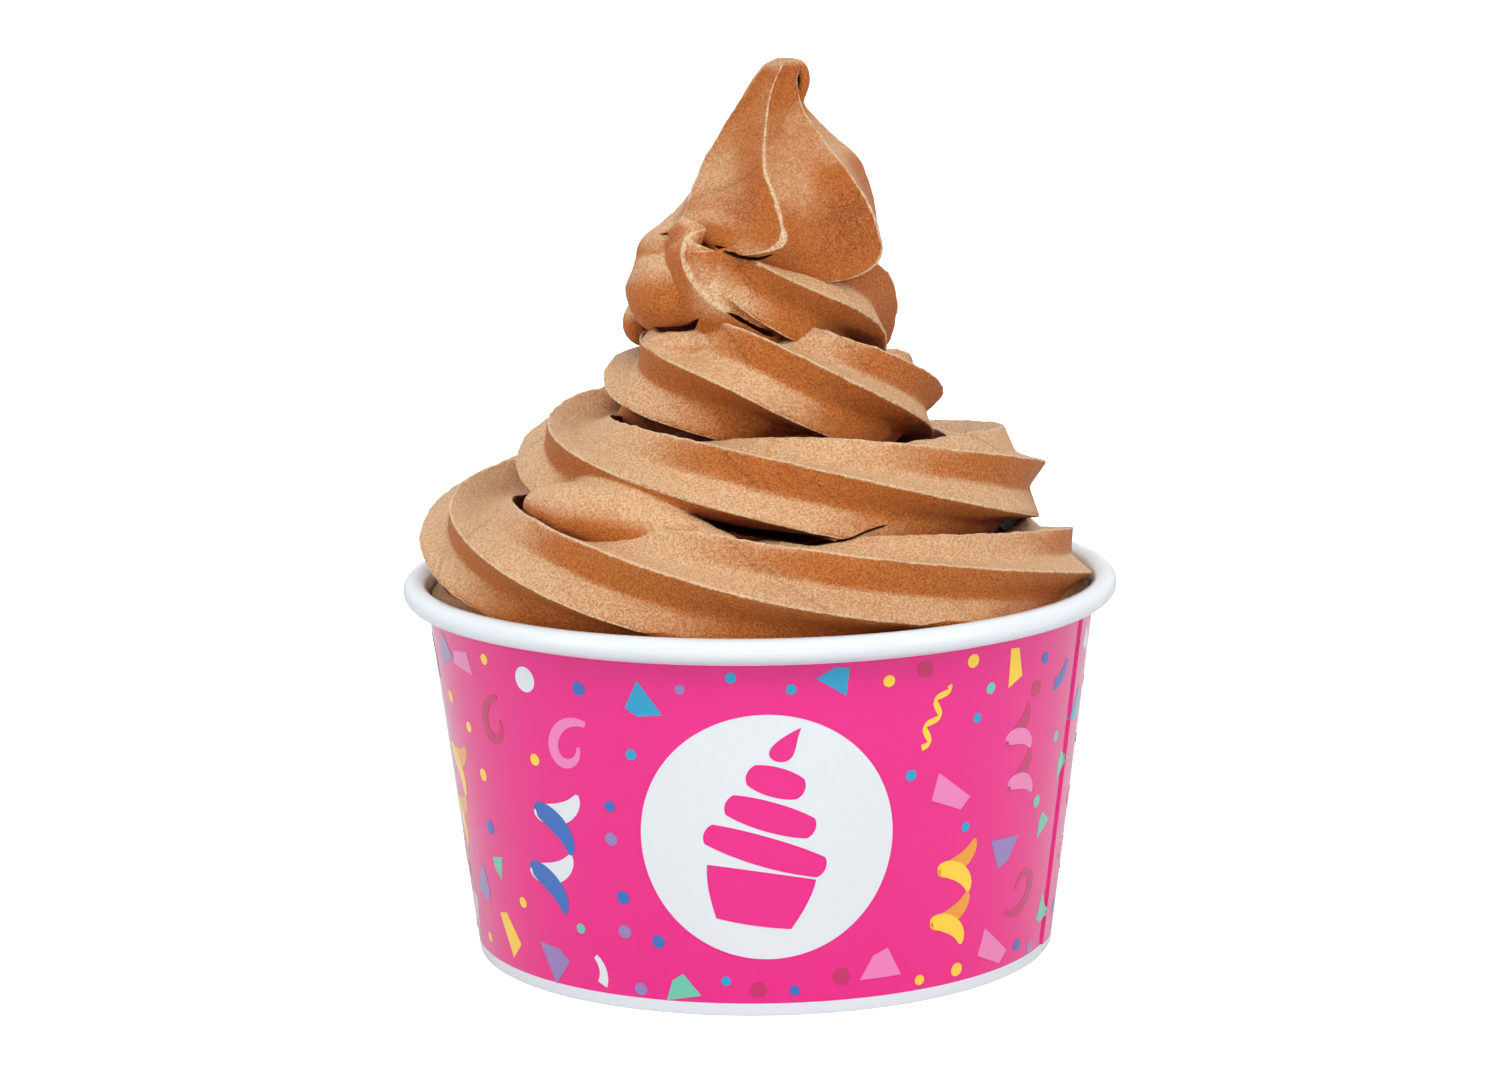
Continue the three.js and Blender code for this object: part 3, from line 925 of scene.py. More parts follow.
@dataclass(frozen=True)
class Fold:
    """A ridge of yogurt that curls over what lies under it: millimetres, with bearings in degrees."""

    name: str
    # the crest's way: bearing, reach, height and how far the ridge goes in under it
    path: tuple[tuple[float, float, float, float], ...]
    valley: float = 0.93
    crest_width: float = 14.0
    # the painted crest highlight: its width, its strength, a painted highlight over one side of the fold, that side's
    # width, and how soon it fades before the end
    pale_width: float = 7.0
    pale: float = 1.0
    veil: float = 0.0
    veil_width: float = 75.0
    pale_fade: float = 2.5
    uneven: float = 0.25
    cell: float = 4.0
    probe: float = 0.02
    steps: int = 72
    sides: int = 72

    def build(self) -> Object:
        """Makes the closed form.

        Returns:
            The form, with the crest attribute of a swept star, which the material paints as a highlight.
        """
        bearings, reaches, heights, depths = (column(self.path, k) for k in range(4))
        last = len(self.path) - 1

        def crest(t: float) -> Vector:
            """The crest's place after part of the way."""
            bearing, reach = math.radians(through(bearings, t)), through(reaches, t)
            return Vector((reach * math.cos(bearing), reach * math.sin(bearing), through(heights, t)))

        work = bmesh.new()
        pale = work.verts.layers.float.new("crest")
        loops = []
        for j in range(self.steps + 1):
            t = last * j / self.steps
            top = crest(t)
            ahead = (crest(t + self.probe) - crest(t - self.probe)).normalized()
            outward = Vector((top.x, top.y, 0.0)).normalized()
            outward = (outward - ahead * outward.dot(ahead)).normalized()
            across = ahead.cross(outward)
            deep = through(depths, t)
            shown = self.pale * min(1.0, self.pale_fade * (1 - t / last))
            loop = []
            for i in range(self.sides):
                angle = 360 * i / self.sides
                off = min(angle, 360 - angle)
                reach = deep * (self.valley + (1 - self.valley) * math.exp(-off / self.crest_width))
                turn = math.radians(angle)
                spot = top - outward * deep + outward * reach * math.cos(turn) + across * reach * math.sin(turn)
                spot += outward * self.uneven * noise.noise(spot / self.cell)
                vert = work.verts.new(spot * MM)
                # painted highlight along the crest, and over one side of the fold
                above = self.veil * max(0.0, 1 - off / self.veil_width) if angle > 180 else 0.0
                vert[pale] = shown * max(above, 1 - off / self.pale_width, 0.0)
                loop.append(vert)
            loops.append(loop)
        return lofted(self.name, work, loops)


@dataclass(frozen=True)
class Melt:
    """A place where the yogurt has slumped and its edges have softened: an ellipsoid of millimetres and degrees."""

    centre: Place
    size: Place
    turn: float = 0.0
    slant: float = 0.0
    passes: int = 12
    fades: bool = True
    # how strong a pass is, and how far the place has shrunk by the last one
    strength: float = 0.5
    shrink: float = 0.5

    def depth(self, spots: Any) -> Any:
        """How far out of the middle places lie: 0 at the middle, 1 at the edge.

        Args:
            spots: Places in metres, one row each.

        Returns:
            One value for each place.
        """
        local = (spots / MM - numpy.array(self.centre)) @ numpy.array(leaned(self.turn, self.slant))
        return numpy.linalg.norm(local / numpy.array(self.size), axis=1)

    def soften(self, target: Object) -> None:
        """Smooths an object's points here, most in the middle, which takes the crests' sharp edge off, and fades the
        painted crest highlight here if fades is set.
        """
        depth = self.depth(points_of(target.data))
        work = bmesh.new()
        work.from_mesh(target.data)
        work.verts.ensure_lookup_table()
        inside = [(work.verts[i], depth[i]) for i in numpy.nonzero(depth < 1)[0]]
        crest = work.verts.layers.float["crest"]
        for vert, far in inside if self.fades else ():
            vert[crest] *= far * far
        axes = {"use_axis_x": True, "use_axis_y": True, "use_axis_z": True}
        for k in range(self.passes):
            chosen = [vert for vert, far in inside if far < 1 - self.shrink * k / self.passes]
            bmesh.ops.smooth_vert(work, verts=chosen, factor=self.strength, **axes)
        work.to_mesh(target.data)
        work.free()


@dataclass(frozen=True)
class Bloom:
    """A soft patch of painted light: a painted highlight, or painted shade that deepens the colour; millimetres and
    degrees.
    """

    centre: Place
    size: Place
    # how much: up to 1 for painted highlight, down to -1 for painted shade
    amount: float
    slant: float = 0.0

    def reach(self, spots: Any) -> Any:
        """How much of the patch is at each of some places, in metres, one row each."""
        near = numpy.clip(1 - Melt(self.centre, self.size, 0.0, self.slant).depth(spots) ** 2, 0, 1)
        return self.amount * near * near


@dataclass(frozen=True)
class Crease:
    """A gap or fold that runs into the yogurt: millimetres, with bearings in degrees."""

    name: str
    path: tuple[Place, ...]
    thick: float
    deep: float
    ends: float = 0.25
    blunt: float = 0.02
    # how unevenly it is torn, and how many cells of that it has on its way
    ragged: float = 0.25
    ragged_cells: float = 23.0
    # how far in its middle lies, and how deep it still is at its ends, as shares of its depth
    sunk: float = 0.75
    shallow: float = 0.4
    steps: int = 40
    sides: int = 16

    def build(self) -> Object:
        """Makes the closed form that is cut away.

        Returns:
            The form.
        """
        bearings, reaches, heights = (column(self.path, k) for k in range(3))
        last = len(self.path) - 1
        work = bmesh.new()
        loops = []
        for j in range(self.steps + 1):
            t = j / self.steps
            bearing = math.radians(through(bearings, t * last))
            reach, height = through(reaches, t * last), through(heights, t * last)
            full = min(1.0, math.sin(math.pi / 2 * min(1.0, min(t, 1 - t) / self.ends + self.blunt)))
            torn = 1 + self.ragged * noise.noise(Vector((t * self.ragged_cells, self.thick, 0.5)))
            loop = []
            for i in range(self.sides):
                angle = i * TWO_PI / self.sides
                inward = self.deep * (math.cos(angle) - self.sunk) * (self.shallow + (1 - self.shallow) * full)
                rise = self.thick / 2 * full * torn * math.sin(angle)
                loop.append(work.verts.new(cup_spot(reach + inward, bearing, height + rise)))
            loops.append(loop)
        return lofted(self.name, work, loops)


def revolved(name: str, pairs: Sequence[Pair], sides: int) -> Object:
    """Revolves pairs of radius and height about the cup's axis, as a closed mesh.

    Args:
        name: Name of the new object.
        pairs: Radius and height, from axis to axis or round a closed loop.
        sides: Number of sides.

    Returns:
        The closed object.
    """
    work = bmesh.new()
    rows: list[list[bmesh.types.BMVert]] = []
    for radius, height in pairs:
        if radius == 0:
            rows.append([work.verts.new((0.0, 0.0, height * MM))] * sides)
        else:
            rows.append([work.verts.new(cup_spot(radius, i * TWO_PI / sides, height)) for i in range(sides)])
    if pairs[0][0] or pairs[-1][0]:
        rows.append(rows[0])
    for low, high in zip(rows, rows[1:]):
        for i in range(sides):
            j = (i + 1) % sides
            corners = list(dict.fromkeys((low[i], low[j], high[j], high[i])))
            if len(corners) > 2:
                work.faces.new(corners)
    return closed(name, work)


@dataclass
class CupShape:
    """Sizes of the paper cup that more than one piece needs."""

    rim_radius: float = 56.0
    height: float = 59.6
    foot_radius: float = 45.3
    rim_wall_radius: float = 52.5
    paper: float = 0.6
    gap: float = 0.3
    rim_roll: float = 1.9
    base_recess: float = 5.6
    foot_layers: int = 3
    seam_bearing: float = -14.0
    seam_width: float = 9.0
    seam_step: float = 0.35
    print_low: float = 2.06
    print_high: float = 55.2

    @property
    def roll_centre(self) -> Pair:
        """Radius and height of the rolled rim's centre."""
        return self.rim_radius - self.rim_roll, self.height - self.rim_roll

    @property
    def taper(self) -> float:
        """How much the wall widens for each millimetre up."""
        return (self.rim_wall_radius - self.foot_radius) / self.roll_centre[1]

    @property
    def seam_half(self) -> float:
        """Half the seam's width, in radians."""
        return self.seam_width / 2 / self.rim_wall_radius

    def wall(self, z: float) -> float:
        """Outer radius of the straight wall at a height."""
        return self.foot_radius + self.taper * z

    def inside(self, z: float) -> float:
        """Radius at which the yogurt meets the wall, at a height."""
        return self.wall(z) - self.paper - self.gap


@dataclass
class Yogurt:
    """All of the yogurt as one piece: the fill, the rope, the peak, its curl and the shoulder."""

    cup: CupShape
    rope: Rope
    peak: Peak
    sweep: StarSweep
    fill_level: float = 57.0
    rim_rest: float = 0.3
    mound: tuple[Pair, ...] = ((45, 59), (38, 65.5), (31, 71.5), (22, 79), (14, 87), (10, 97), (7, 106), (0, 111))
    lobes: tuple[Lobe, ...] = (
        Lobe("shoulder", (-9.8, 0.5, 110.2), (6.3, 8.0, 6.8)),
        Lobe("tip_web", (6.5, -0.1, 133.8), (1.5, 1.4, 1.7)),
        Lobe("tip_back", (6.4, 1.2, 135.9), (1.6, 0.8, 2.4)),
        Lobe("tip_bridge", (6.3, -0.1, 138.0), (1.6, 1.4, 1.3)),
        Lobe("left_bulge", (-12.4, -5.2, 104.6), (7.8, 9.6, 7.2)),
        Lobe("left_flank", (-12.0, -2.5, 108.4), (6.7, 8.0, 6.9)),
        Lobe("left_saddle", (-11.0, -8.0, 96.3), (6.8, 8.0, 4.2)),
        Lobe("hanging_fold", (-16.4, 8.5, 98.7), (8.0, 4.0, 4.6), 62.0, 6.0),
        Lobe("hanging_root", (-12.6, 9.6, 101.0), (6.0, 6.5, 5.8)),
    )
    folds: tuple[Fold, ...] = (
        Fold(
            "curled_lip",
            (
                (-120.0, 15.0, 115.0, 1.5),
                (-124.3, 17.6, 114.3, 5.0),
                (-125.0, 19.0, 113.0, 7.0),
                (-124.0, 19.8, 110.9, 8.0),
                (-119.0, 20.0, 107.6, 8.5),
                (-112.5, 19.3, 104.8, 8.5),
                (-107.0, 18.4, 103.4, 8.0),
                (-101.0, 17.2, 102.2, 7.2),
                (-95.5, 17.2, 101.0, 7.0),
                (-89.5, 17.0, 100.2, 6.8),
                (-81.5, 16.3, 100.5, 5.6),
                (-73.5, 15.2, 101.3, 3.6),
            ),
            veil=0.6,
        ),
        Fold(
            "sagging_fold",
            (
                (-148.0, 42.2, 74.0, 3.0),
                (-142.0, 43.6, 73.8, 4.6),
                (-135.5, 44.2, 73.6, 5.4),
                (-129.0, 44.2, 73.4, 5.6),
                (-122.0, 43.9, 73.0, 5.5),
                (-115.0, 43.3, 72.4, 5.0),
                (-108.0, 42.3, 71.7, 4.2),
                (-101.0, 41.0, 71.1, 2.8),
                (-95.0, 39.6, 70.7, 1.2),
            ),
            valley=1.0,
            pale=0.0,
        ),
    )
    creases: tuple[Crease, ...] = (
        Crease(
            "front_gap",
            (
                (-105.0, 37.5, 74.0),
                (-98.0, 37.0, 73.0),
                (-91.5, 37.0, 72.1),
                (-85.0, 38.0, 71.6),
                (-79.0, 39.5, 71.0),
                (-73.5, 40.5, 71.0),
            ),
            2.1,
            8.0,
        ),
        Crease(
            "left_gap",
            (
                (-148.0, 19.5, 99.4),
                (-140.0, 18.3, 99.2),
                (-133.0, 17.2, 99.4),
                (-126.0, 16.8, 100.4),
                (-119.0, 17.6, 101.6),
            ),
            1.4,
            2.4,
        ),
        Crease(
            "lip_gap",
            (
                (-104.5, 17.9, 102.6),
                (-98.0, 17.2, 101.5),
                (-91.0, 17.0, 100.3),
                (-85.0, 17.0, 99.4),
                (-79.0, 17.2, 98.7),
            ),
            1.2,
            2.2,
        ),
        Crease(
            "hook_gap",
            (
                (-114.0, 15.8, 112.4),
                (-105.6, 17.4, 111.8),
                (-98.0, 16.9, 111.1),
                (-89.0, 16.8, 110.8),
                (-81.0, 17.6, 111.5),
            ),
            1.0,
            2.2,
        ),
        Crease(
            "shoulder_nick",
            ((-157.0, 16.0, 113.5), (-150.0, 16.3, 113.4), (-143.0, 16.9, 113.4), (-136.0, 17.6, 113.5)),
            0.6,
            1.3,
        ),
        Crease(
            "torn_lip",
            ((-76.0, 40.5, 70.9), (-71.0, 41.0, 71.2), (-66.0, 40.5, 72.0), (-60.5, 39.5, 72.6)),
            0.5,
            1.2,
        ),
    )
    melts: tuple[Melt, ...] = (
        Melt((-11.5, -2.0, 114.5), (6.5, 10.0, 6.5), passes=30),
        Melt((-12.5, -3.5, 107.5), (9.5, 9.0, 4.0), passes=50),
        Melt((-15.4, 9.0, 99.6), (12.5, 9.0, 8.5), 62.0, 6.0, passes=70),
        Melt((-22.5, -31.0, 76.4), (18.0, 9.0, 4.0), -42.0, -4.0, 80),
        Melt((-12.5, -14.5, 98.5), (8.0, 6.0, 4.0), passes=16),
        Melt((-2.2, -15.6, 107.0), (4.5, 4.5, 4.5), passes=50),
        Melt((3.6, -17.8, 112.8), (3.0, 3.0, 2.6), passes=14, fades=False),
    )
    # soft painted patches of highlight and of shade on the yogurt
    blooms: tuple[Bloom, ...] = (
        Bloom((6.0, -11.5, 122.5), (5.0, 9.0, 12.0), 0.26, 22.0),
        Bloom((-6.5, -6.0, 123.5), (4.5, 8.0, 10.0), 0.42, -25.0),
        Bloom((-1.5, -12.5, 118.0), (5.0, 6.0, 6.0), -0.7),
        Bloom((14.0, -11.0, 115.5), (7.5, 9.0, 8.0), -0.95),
        Bloom((-6.0, -18.0, 105.5), (6.0, 5.0, 5.5), 0.75),
        Bloom((0.0, -46.0, 63.0), (46.0, 16.0, 7.0), -0.3),
    )
    # for the painted shade in hollows: how far a way out is looked for, by how many rays, and how far off the surface
    # they start
    open_reach: float = 12.0
    open_rays: int = 20
    open_start: float = 0.05
    open_jitter: float = 0.1
    open_seed: int = 5
    # the room for the rim: how far out and down it goes, its ease at the top and its slope's height
    room_out: float = 6.0
    room_low: float = -1.0
    rim_ease: float = 0.4
    rim_slope: float = 1.2
    sides: int = 120
    sharp_over: float = 55.0

    def build(self, finish: Material) -> Object:
        """Joins every form into one closed mesh and dresses it.

        Args:
            finish: The yogurt's material.

        Returns:
            The finished piece.
        """
        cup = self.cup
        floor = cup.base_recess + cup.paper + cup.gap
        pairs = [(0.0, floor), (cup.inside(floor), floor), (cup.inside(self.fill_level), self.fill_level), *self.mound]
        body = revolved("yogurt_swirl", pairs, self.sides)
        forms = self.rope.pieces(self.sweep, finish)
        forms += [self.peak.cone(self.sweep, finish), self.peak.curl()]
        forms += [form.build() for form in (*self.lobes, *self.folds)]
        body = self._combine(body, forms, "UNION")
        body = self._combine(body, [self._rim_room(), *(crease.build() for crease in self.creases)], "DIFFERENCE")
        self._largest(body)
        body.data.materials.clear()
        body.data.materials.append(finish)
        for melt in self.melts:
            melt.soften(body)
        shade(body, self.sharp_over)
        # masks for painted shade in the hollows and for the painted patches of highlight and shade
        self._mark_hollows(body)
        self._mark_blooms(body)
        hand_over(body, Slot.YOGURT, "frozen_yogurt")
        return body

    def _rim_room(self) -> Object:
        """The room that the yogurt leaves for the wall and the rolled rim."""
        cup, top, low = self.cup, self.cup.height, self.room_low
        outer, over = cup.rim_radius + self.room_out, top + self.rim_rest
        pairs = [
            (cup.inside(low), low),
            (outer, low),
            (outer, over),
            (cup.inside(top) + self.rim_ease, over),
            (cup.inside(top - self.rim_slope), top - self.rim_slope),
        ]
        return revolved("rim_room", pairs, self.sides)

    def _mark_hollows(self, body: Object) -> None:
        """Stores at each point how closed in it is, which the material paints as shade: 0 in the open, 1 where every
        way out is blocked near by.
        """
        draw = random.Random(self.open_seed)
        fan = []
        for k in range(self.open_rays):
            across = math.sqrt((k + 0.5) / self.open_rays)
            bearing = k * math.pi * (3 - math.sqrt(5)) + draw.random() * self.open_jitter
            fan.append(Vector((across * math.cos(bearing), across * math.sin(bearing), math.sqrt(1 - across * across))))
        mesh = body.data
        tree = BVHTree.FromPolygons([v.co for v in mesh.vertices], [p.vertices for p in mesh.polygons])
        shut = []
        for vert in mesh.vertices:
            out = vert.normal.to_track_quat("Z", "Y").to_matrix()
            start = vert.co + vert.normal * self.open_start * MM
            hits = sum(1 for ray in fan if tree.ray_cast(start, out @ ray, self.open_reach * MM)[0] is not None)
            shut.append(hits / self.open_rays)
        store(mesh, "hollow", shut)

    def _mark_blooms(self, body: Object) -> None:
        """Stores at each point how much painted light the patches put there, from -1 for painted shade to 1 for painted
        highlight.
        """
        spots = points_of(body.data)
        store(body.data, "bloom", sum(bloom.reach(spots) for bloom in self.blooms))

    @staticmethod
    def _combine(body: Object, others: Sequence[Object], operation: str) -> Object:
        """Joins forms to a body or cuts them from it, and deletes them.

        Args:
            body: The closed body.
            others: The closed forms.
            operation: UNION or DIFFERENCE.

        Returns:
            The new body.
        """
        name = body.name
        group = bpy.data.collections.new("forms")
        bpy.context.scene.collection.children.link(group)
        for other in others:
            group.objects.link(other)
        modifier = body.modifiers.new("combine", "BOOLEAN")
        modifier.operation = operation
        modifier.solver = "MANIFOLD"
        modifier.operand_type = "COLLECTION"
        modifier.collection = group
        made = evaluated(body, name)
        for other in others:
            bpy.data.objects.remove(other)
        bpy.data.collections.remove(group)
        return made

    @staticmethod
    def _largest(body: Object) -> None:
        """Keeps the largest connected shell of a mesh, so that no sealed hollow stays inside."""
        work = bmesh.new()
        work.from_mesh(body.data)
        work.verts.ensure_lookup_table()
        left = set(work.verts)
        shells = []
        while left:
            seed = left.pop()
            shell, edge = {seed}, [seed]
            while edge:
                for link in edge.pop().link_edges:
                    for vert in link.verts:
                        if vert in left:
                            left.discard(vert)
                            shell.add(vert)
                            edge.append(vert)
            shells.append(shell)
        shells.sort(key=len)
        for shell in shells[:-1]:
            bmesh.ops.delete(work, geom=list(shell), context="VERTS")
        work.to_mesh(body.data)
        work.free()


# ---- the paper -------------------------------------------------------------------------------------


def paper_tooth() -> NodeTree:
    """The shader group of coated board: a faint mottle in its colour and a slightly uneven gloss.

    Returns:
        The group.
    """
    inputs = {"Colour": "Color", "Mottle": "Float", "Gloss": "Float"}
    outputs = {"Colour": "Color", "Roughness": "Float", "Height": "Float"}
    g, given, out = new_tree("paper_tooth", "ShaderNodeTree", inputs, outputs)
    place = g.call("ShaderNodeTexCoord", {}, "Object")
    fibre = g.speckle(place, 0.45, 2.0, 0.6, 7.0)
    cloud = g.speckle(place, 14.0, 1.0, 0.5, 8.0)
    uneven = g.minus(fibre, 0.5)
    bright = g.plus(1.0, g.times(g.times(uneven, given["Mottle"]), 2.0))
    g.feed(out["Colour"], g.scaled(given["Colour"], bright))
    g.feed(out["Roughness"], g.plus(given["Gloss"], g.times(uneven, 0.1)))
    g.feed(out["Height"], g.plus(g.times(fibre, 0.03), cloud))
    return g.tree


@dataclass(frozen=True)
class PaperFinish:
    """Coated paper board in one colour: a print ink, or the bare white board."""

    name: str
    colour: Colour
    mottle: float = 0.04
    gloss: float = 0.38
    sheen: float = 0.2
    coat: float = 1.0
    coat_roughness: float = 0.06
    unevenness: float = 0.5
    relief: float = 0.12

    def build(self, tooth: NodeTree) -> Material:
        """Makes the material.

        Args:
            tooth: The shader group of coated board.

        Returns:
            The material.
        """
        material, g, shader = new_material(self.name)
        group = g.add("ShaderNodeGroup", node_tree=tooth)
        g.fill(group, {"Colour": self.colour, "Mottle": self.mottle, "Gloss": self.gloss})
        height = {"Strength": self.unevenness, "Distance": self.relief * MM, "Height": group.outputs["Height"]}
        bump = g.call("ShaderNodeBump", height, "Normal")
        g.fill(
            shader,
            {
                "Base Color": group.outputs["Colour"],
                "Roughness": group.outputs["Roughness"],
                "Normal": bump,
                "Coat Normal": bump,
                "Specular IOR Level": self.sheen,
                "Coat Weight": self.coat,
                "Coat Roughness": self.coat_roughness,
            },
        )
        return material


@dataclass
class PaperCup:
    """The cup: its wall with the rolled rim and the crimped foot, and its base disc."""

    shape: CupShape
    sides: int = 288
    wall_steps: int = 12
    # the foot's rounding: how far in it starts, how far up its middle point is, and how high the crimp's flat goes
    foot_edge: float = 0.3
    foot_soft: float = 0.08
    foot_inner: float = 0.1
    foot_top: float = 0.8
    # the rim's roll: the room under it, the angles of its two ends and the steps inside and round it
    neck_gap: float = 0.4
    roll_ends: Pair = (-150.0, 165.0)
    lip_steps: int = 8
    roll_steps: int = 32
    # the seam's two edges, steep and sloping, and the columns' room beside them, in radians
    seam_steep: float = 0.0012
    seam_slope: float = 0.012
    seam_room: float = 0.006
    base_edge: float = 0.2
    sharp_over: float = 40.0

    def profile(self) -> list[tuple[float, float, bool]]:
        """The wall's section, as radius, height and whether the seam's step lifts it.

        Returns:
            The rows, from the foot up the outside, round the rim and down the inside.
        """
        cup, edge, soft = self.shape, self.foot_edge, self.foot_soft
        roll_r, roll_z = cup.roll_centre

        def arc(radius: float, start: float, stop: float, steps: int) -> list[Pair]:
            """Points round the rim's centre, from one angle to another."""
            turns = [start + (stop - start) * i / steps for i in range(steps + 1)]
            return [(roll_r + radius * math.cos(t), roll_z + radius * math.sin(t)) for t in turns]

        crimp = cup.foot_radius - cup.foot_layers * cup.paper
        crimp_top = cup.base_recess - cup.gap
        neck = roll_z - cup.rim_roll - self.neck_gap
        foot = [(crimp, edge), (crimp + self.foot_inner, soft), (crimp + edge, 0.0)]
        foot += [(cup.foot_radius - edge, 0.0), (cup.foot_radius - soft, soft), (cup.foot_radius, edge)]
        tall = cup.print_high - cup.print_low
        between = [cup.print_low + tall * i / self.wall_steps for i in range(1, self.wall_steps)]
        lip, over = (math.radians(end) for end in self.roll_ends)
        rim = [(cup.wall(z), z) for z in (neck, roll_z)]
        rim += arc(cup.rim_roll - cup.paper, math.pi, lip, self.lip_steps)[1:]
        rim += arc(cup.rim_roll, lip, over, self.roll_steps)
        rim += [(cup.wall(z) - cup.paper, z) for z in (roll_z - cup.paper, crimp_top)]
        rim.append((crimp, crimp_top))
        rows = [(*pair, False) for pair in foot]
        rows += [(cup.wall(z), z, True) for z in (self.foot_top, cup.print_low, *between, cup.print_high)]
        return rows + [(*pair, False) for pair in rim]

    def bearings(self) -> list[float]:
        """The columns round the wall, in radians, with extra ones at the seam's two edges."""
        middle, half = math.radians(self.shape.seam_bearing), self.shape.seam_half
        low, high = middle - half, middle + half
        edges = [low, low + self.seam_steep, high - self.seam_slope, high]
        even = [i * TWO_PI / self.sides - math.pi for i in range(self.sides)]
        kept = [b for b in even if all(abs(b - e) > self.seam_room for e in edges)]
        return sorted(kept + edges)

    def seam_lift(self, bearing: float) -> float:
        """How far the glued overlap stands out at a bearing: 0, or the seam's step."""
        off = abs(bearing - math.radians(self.shape.seam_bearing))
        return self.shape.seam_step if off < self.shape.seam_half - HAIR else 0.0

    def build(self, board: Material, ground: Material) -> None:
        """Builds the wall and dresses the base.

        Args:
            board: The bare white board.
            ground: The printed ground.
        """
        cup = self.shape
        rows, columns = self.profile(), self.bearings()
        work = bmesh.new()
        grid = []
        for radius, z, lifted in rows:
            line = []
            for bearing in columns:
                r = radius + (self.seam_lift(bearing) if lifted else 0.0)
                line.append(work.verts.new(cup_spot(r, bearing, z)))
            grid.append(line)
        count = len(columns)
        for j, low in enumerate(grid):
            high = grid[(j + 1) % len(grid)]
            printed = rows[j][2] and rows[(j + 1) % len(rows)][2] and rows[j][1] >= cup.print_low - HAIR
            for i in range(count):
                k = (i + 1) % count
                face = work.faces.new((low[i], low[k], high[k], high[i]))
                face.material_index = 1 if printed else 0
        wall = worked("paper_wall", work)
        clean(wall, 0.0005)
        wall.data.materials.append(board)
        wall.data.materials.append(ground)
        shade(wall, self.sharp_over)
        hand_over(wall, Slot.PRINTED_PAPER, "cup_wall")

        low, top, edge = cup.base_recess, cup.base_recess + cup.paper, self.base_edge
        pairs = [
            (0.0, low),
            (cup.inside(low) - edge, low),
            (cup.inside(low + edge), low + edge),
            (cup.inside(top - edge), top - edge),
            (cup.inside(top) - edge, top),
            (0.0, top),
        ]
        base = revolved("paper_base", pairs, self.sides)
        base.data.materials.append(board)
        shade(base, self.sharp_over)
        hand_over(base, Slot.WHITE_PAPER, "cup_base")


# ---- the print -------------------------------------------------------------------------------------


class Ink(Enum):
    """Inks of the print, with their screen colours."""

    YELLOW = (252, 208, 52)
    BLUE = (46, 104, 186)
    SKY = (20, 156, 200)
    MINT = (104, 198, 168)
    LILAC = (146, 124, 184)
    WHITE = (223, 229, 232)
    BLUSH = (236, 128, 184)
    ROSE = (196, 26, 98)
    AMBER = (236, 156, 40)

    @property
    def label(self) -> str:
        """The ink's name in small letters."""
        return self.name.lower()


class Motif(Enum):
    """Shapes of the confetti, each a flat patch about one unit across."""

    DOT = 0
    CHIP = 1
    KITE = 2
    SLIP = 3
    CURL = 4
    WIGGLE = 5
    FRONT = 6
    BACK = 7


@dataclass(frozen=True)
class Flake:
    """One piece of confetti on the wall: millimetres and radians."""

    motif: Motif
    ink: Ink
    bearing: float
    height: float
    size: float
    spin: float


def slab(name: str, spot: Callable[[float, float], Pair], across: int, along: int, thick: float) -> Object:
    """Makes a thin closed patch from a grid: X and Y in the print's plane, Z out of it.

    Args:
        name: Name of the new object.
        spot: Gives the place of grid values u and v, each from -1 to 1.
        across: Cells along u.
        along: Cells along v.
        thick: Half the patch's thickness.

    Returns:
        The closed patch, in the units that spot gives.
    """
    work = bmesh.new()
    under, over = (
        [
            [work.verts.new((*spot(2 * i / across - 1, 2 * j / along - 1), z)) for i in range(across + 1)]
            for j in range(along + 1)
        ]
        for z in (-thick, thick)
    )
    for j in range(along):
        for i in range(across):
            work.faces.new((over[j][i], over[j][i + 1], over[j + 1][i + 1], over[j + 1][i]))
            work.faces.new((under[j][i], under[j + 1][i], under[j + 1][i + 1], under[j][i + 1]))
    border = [(0, i) for i in range(across)] + [(j, across) for j in range(along)]
    border += [(along, i) for i in range(across, 0, -1)] + [(j, 0) for j in range(along, 0, -1)]
    for (j, i), (n, m) in zip(border, border[1:] + border[:1]):
        work.faces.new((over[j][i], under[j][i], under[n][m], over[n][m]))
    bmesh.ops.recalc_face_normals(work, faces=work.faces)
    return worked(name, work)


def joined(name: str, parts: Sequence[Object]) -> Object:
    """Makes one object of several, which are deleted."""
    work = bmesh.new()
    for part in parts:
        work.from_mesh(part.data)
        bpy.data.objects.remove(part)
    return worked(name, work)


def round_spot(u: float, v: float) -> Pair:
    """Lays a square grid out as a disc one unit across."""
    return 0.5 * u * math.sqrt(1 - v * v / 2), 0.5 * v * math.sqrt(1 - u * u / 2)


def strip_spot(line: Callable[[float], Pair], width: Callable[[float], float]) -> Callable[[float, float], Pair]:
    """Makes a grid layout of a strip that follows a line.

    Args:
        line: The line's place, for 0 to 1.
        width: Half the strip's width, for 0 to 1.

    Returns:
        A layout for slab, with v along the line and u across it.
    """

    def spot(u: float, v: float) -> Pair:
        """Place of one grid point."""
        t = (v + 1) / 2
        x0, y0 = line(t - 0.001)
        x1, y1 = line(t + 0.001)
        length = math.hypot(x1 - x0, y1 - y0)
        x, y = line(t)
        half = width(t)
        return x + u * half * (y1 - y0) / length, y - u * half * (x1 - x0) / length

    return spot


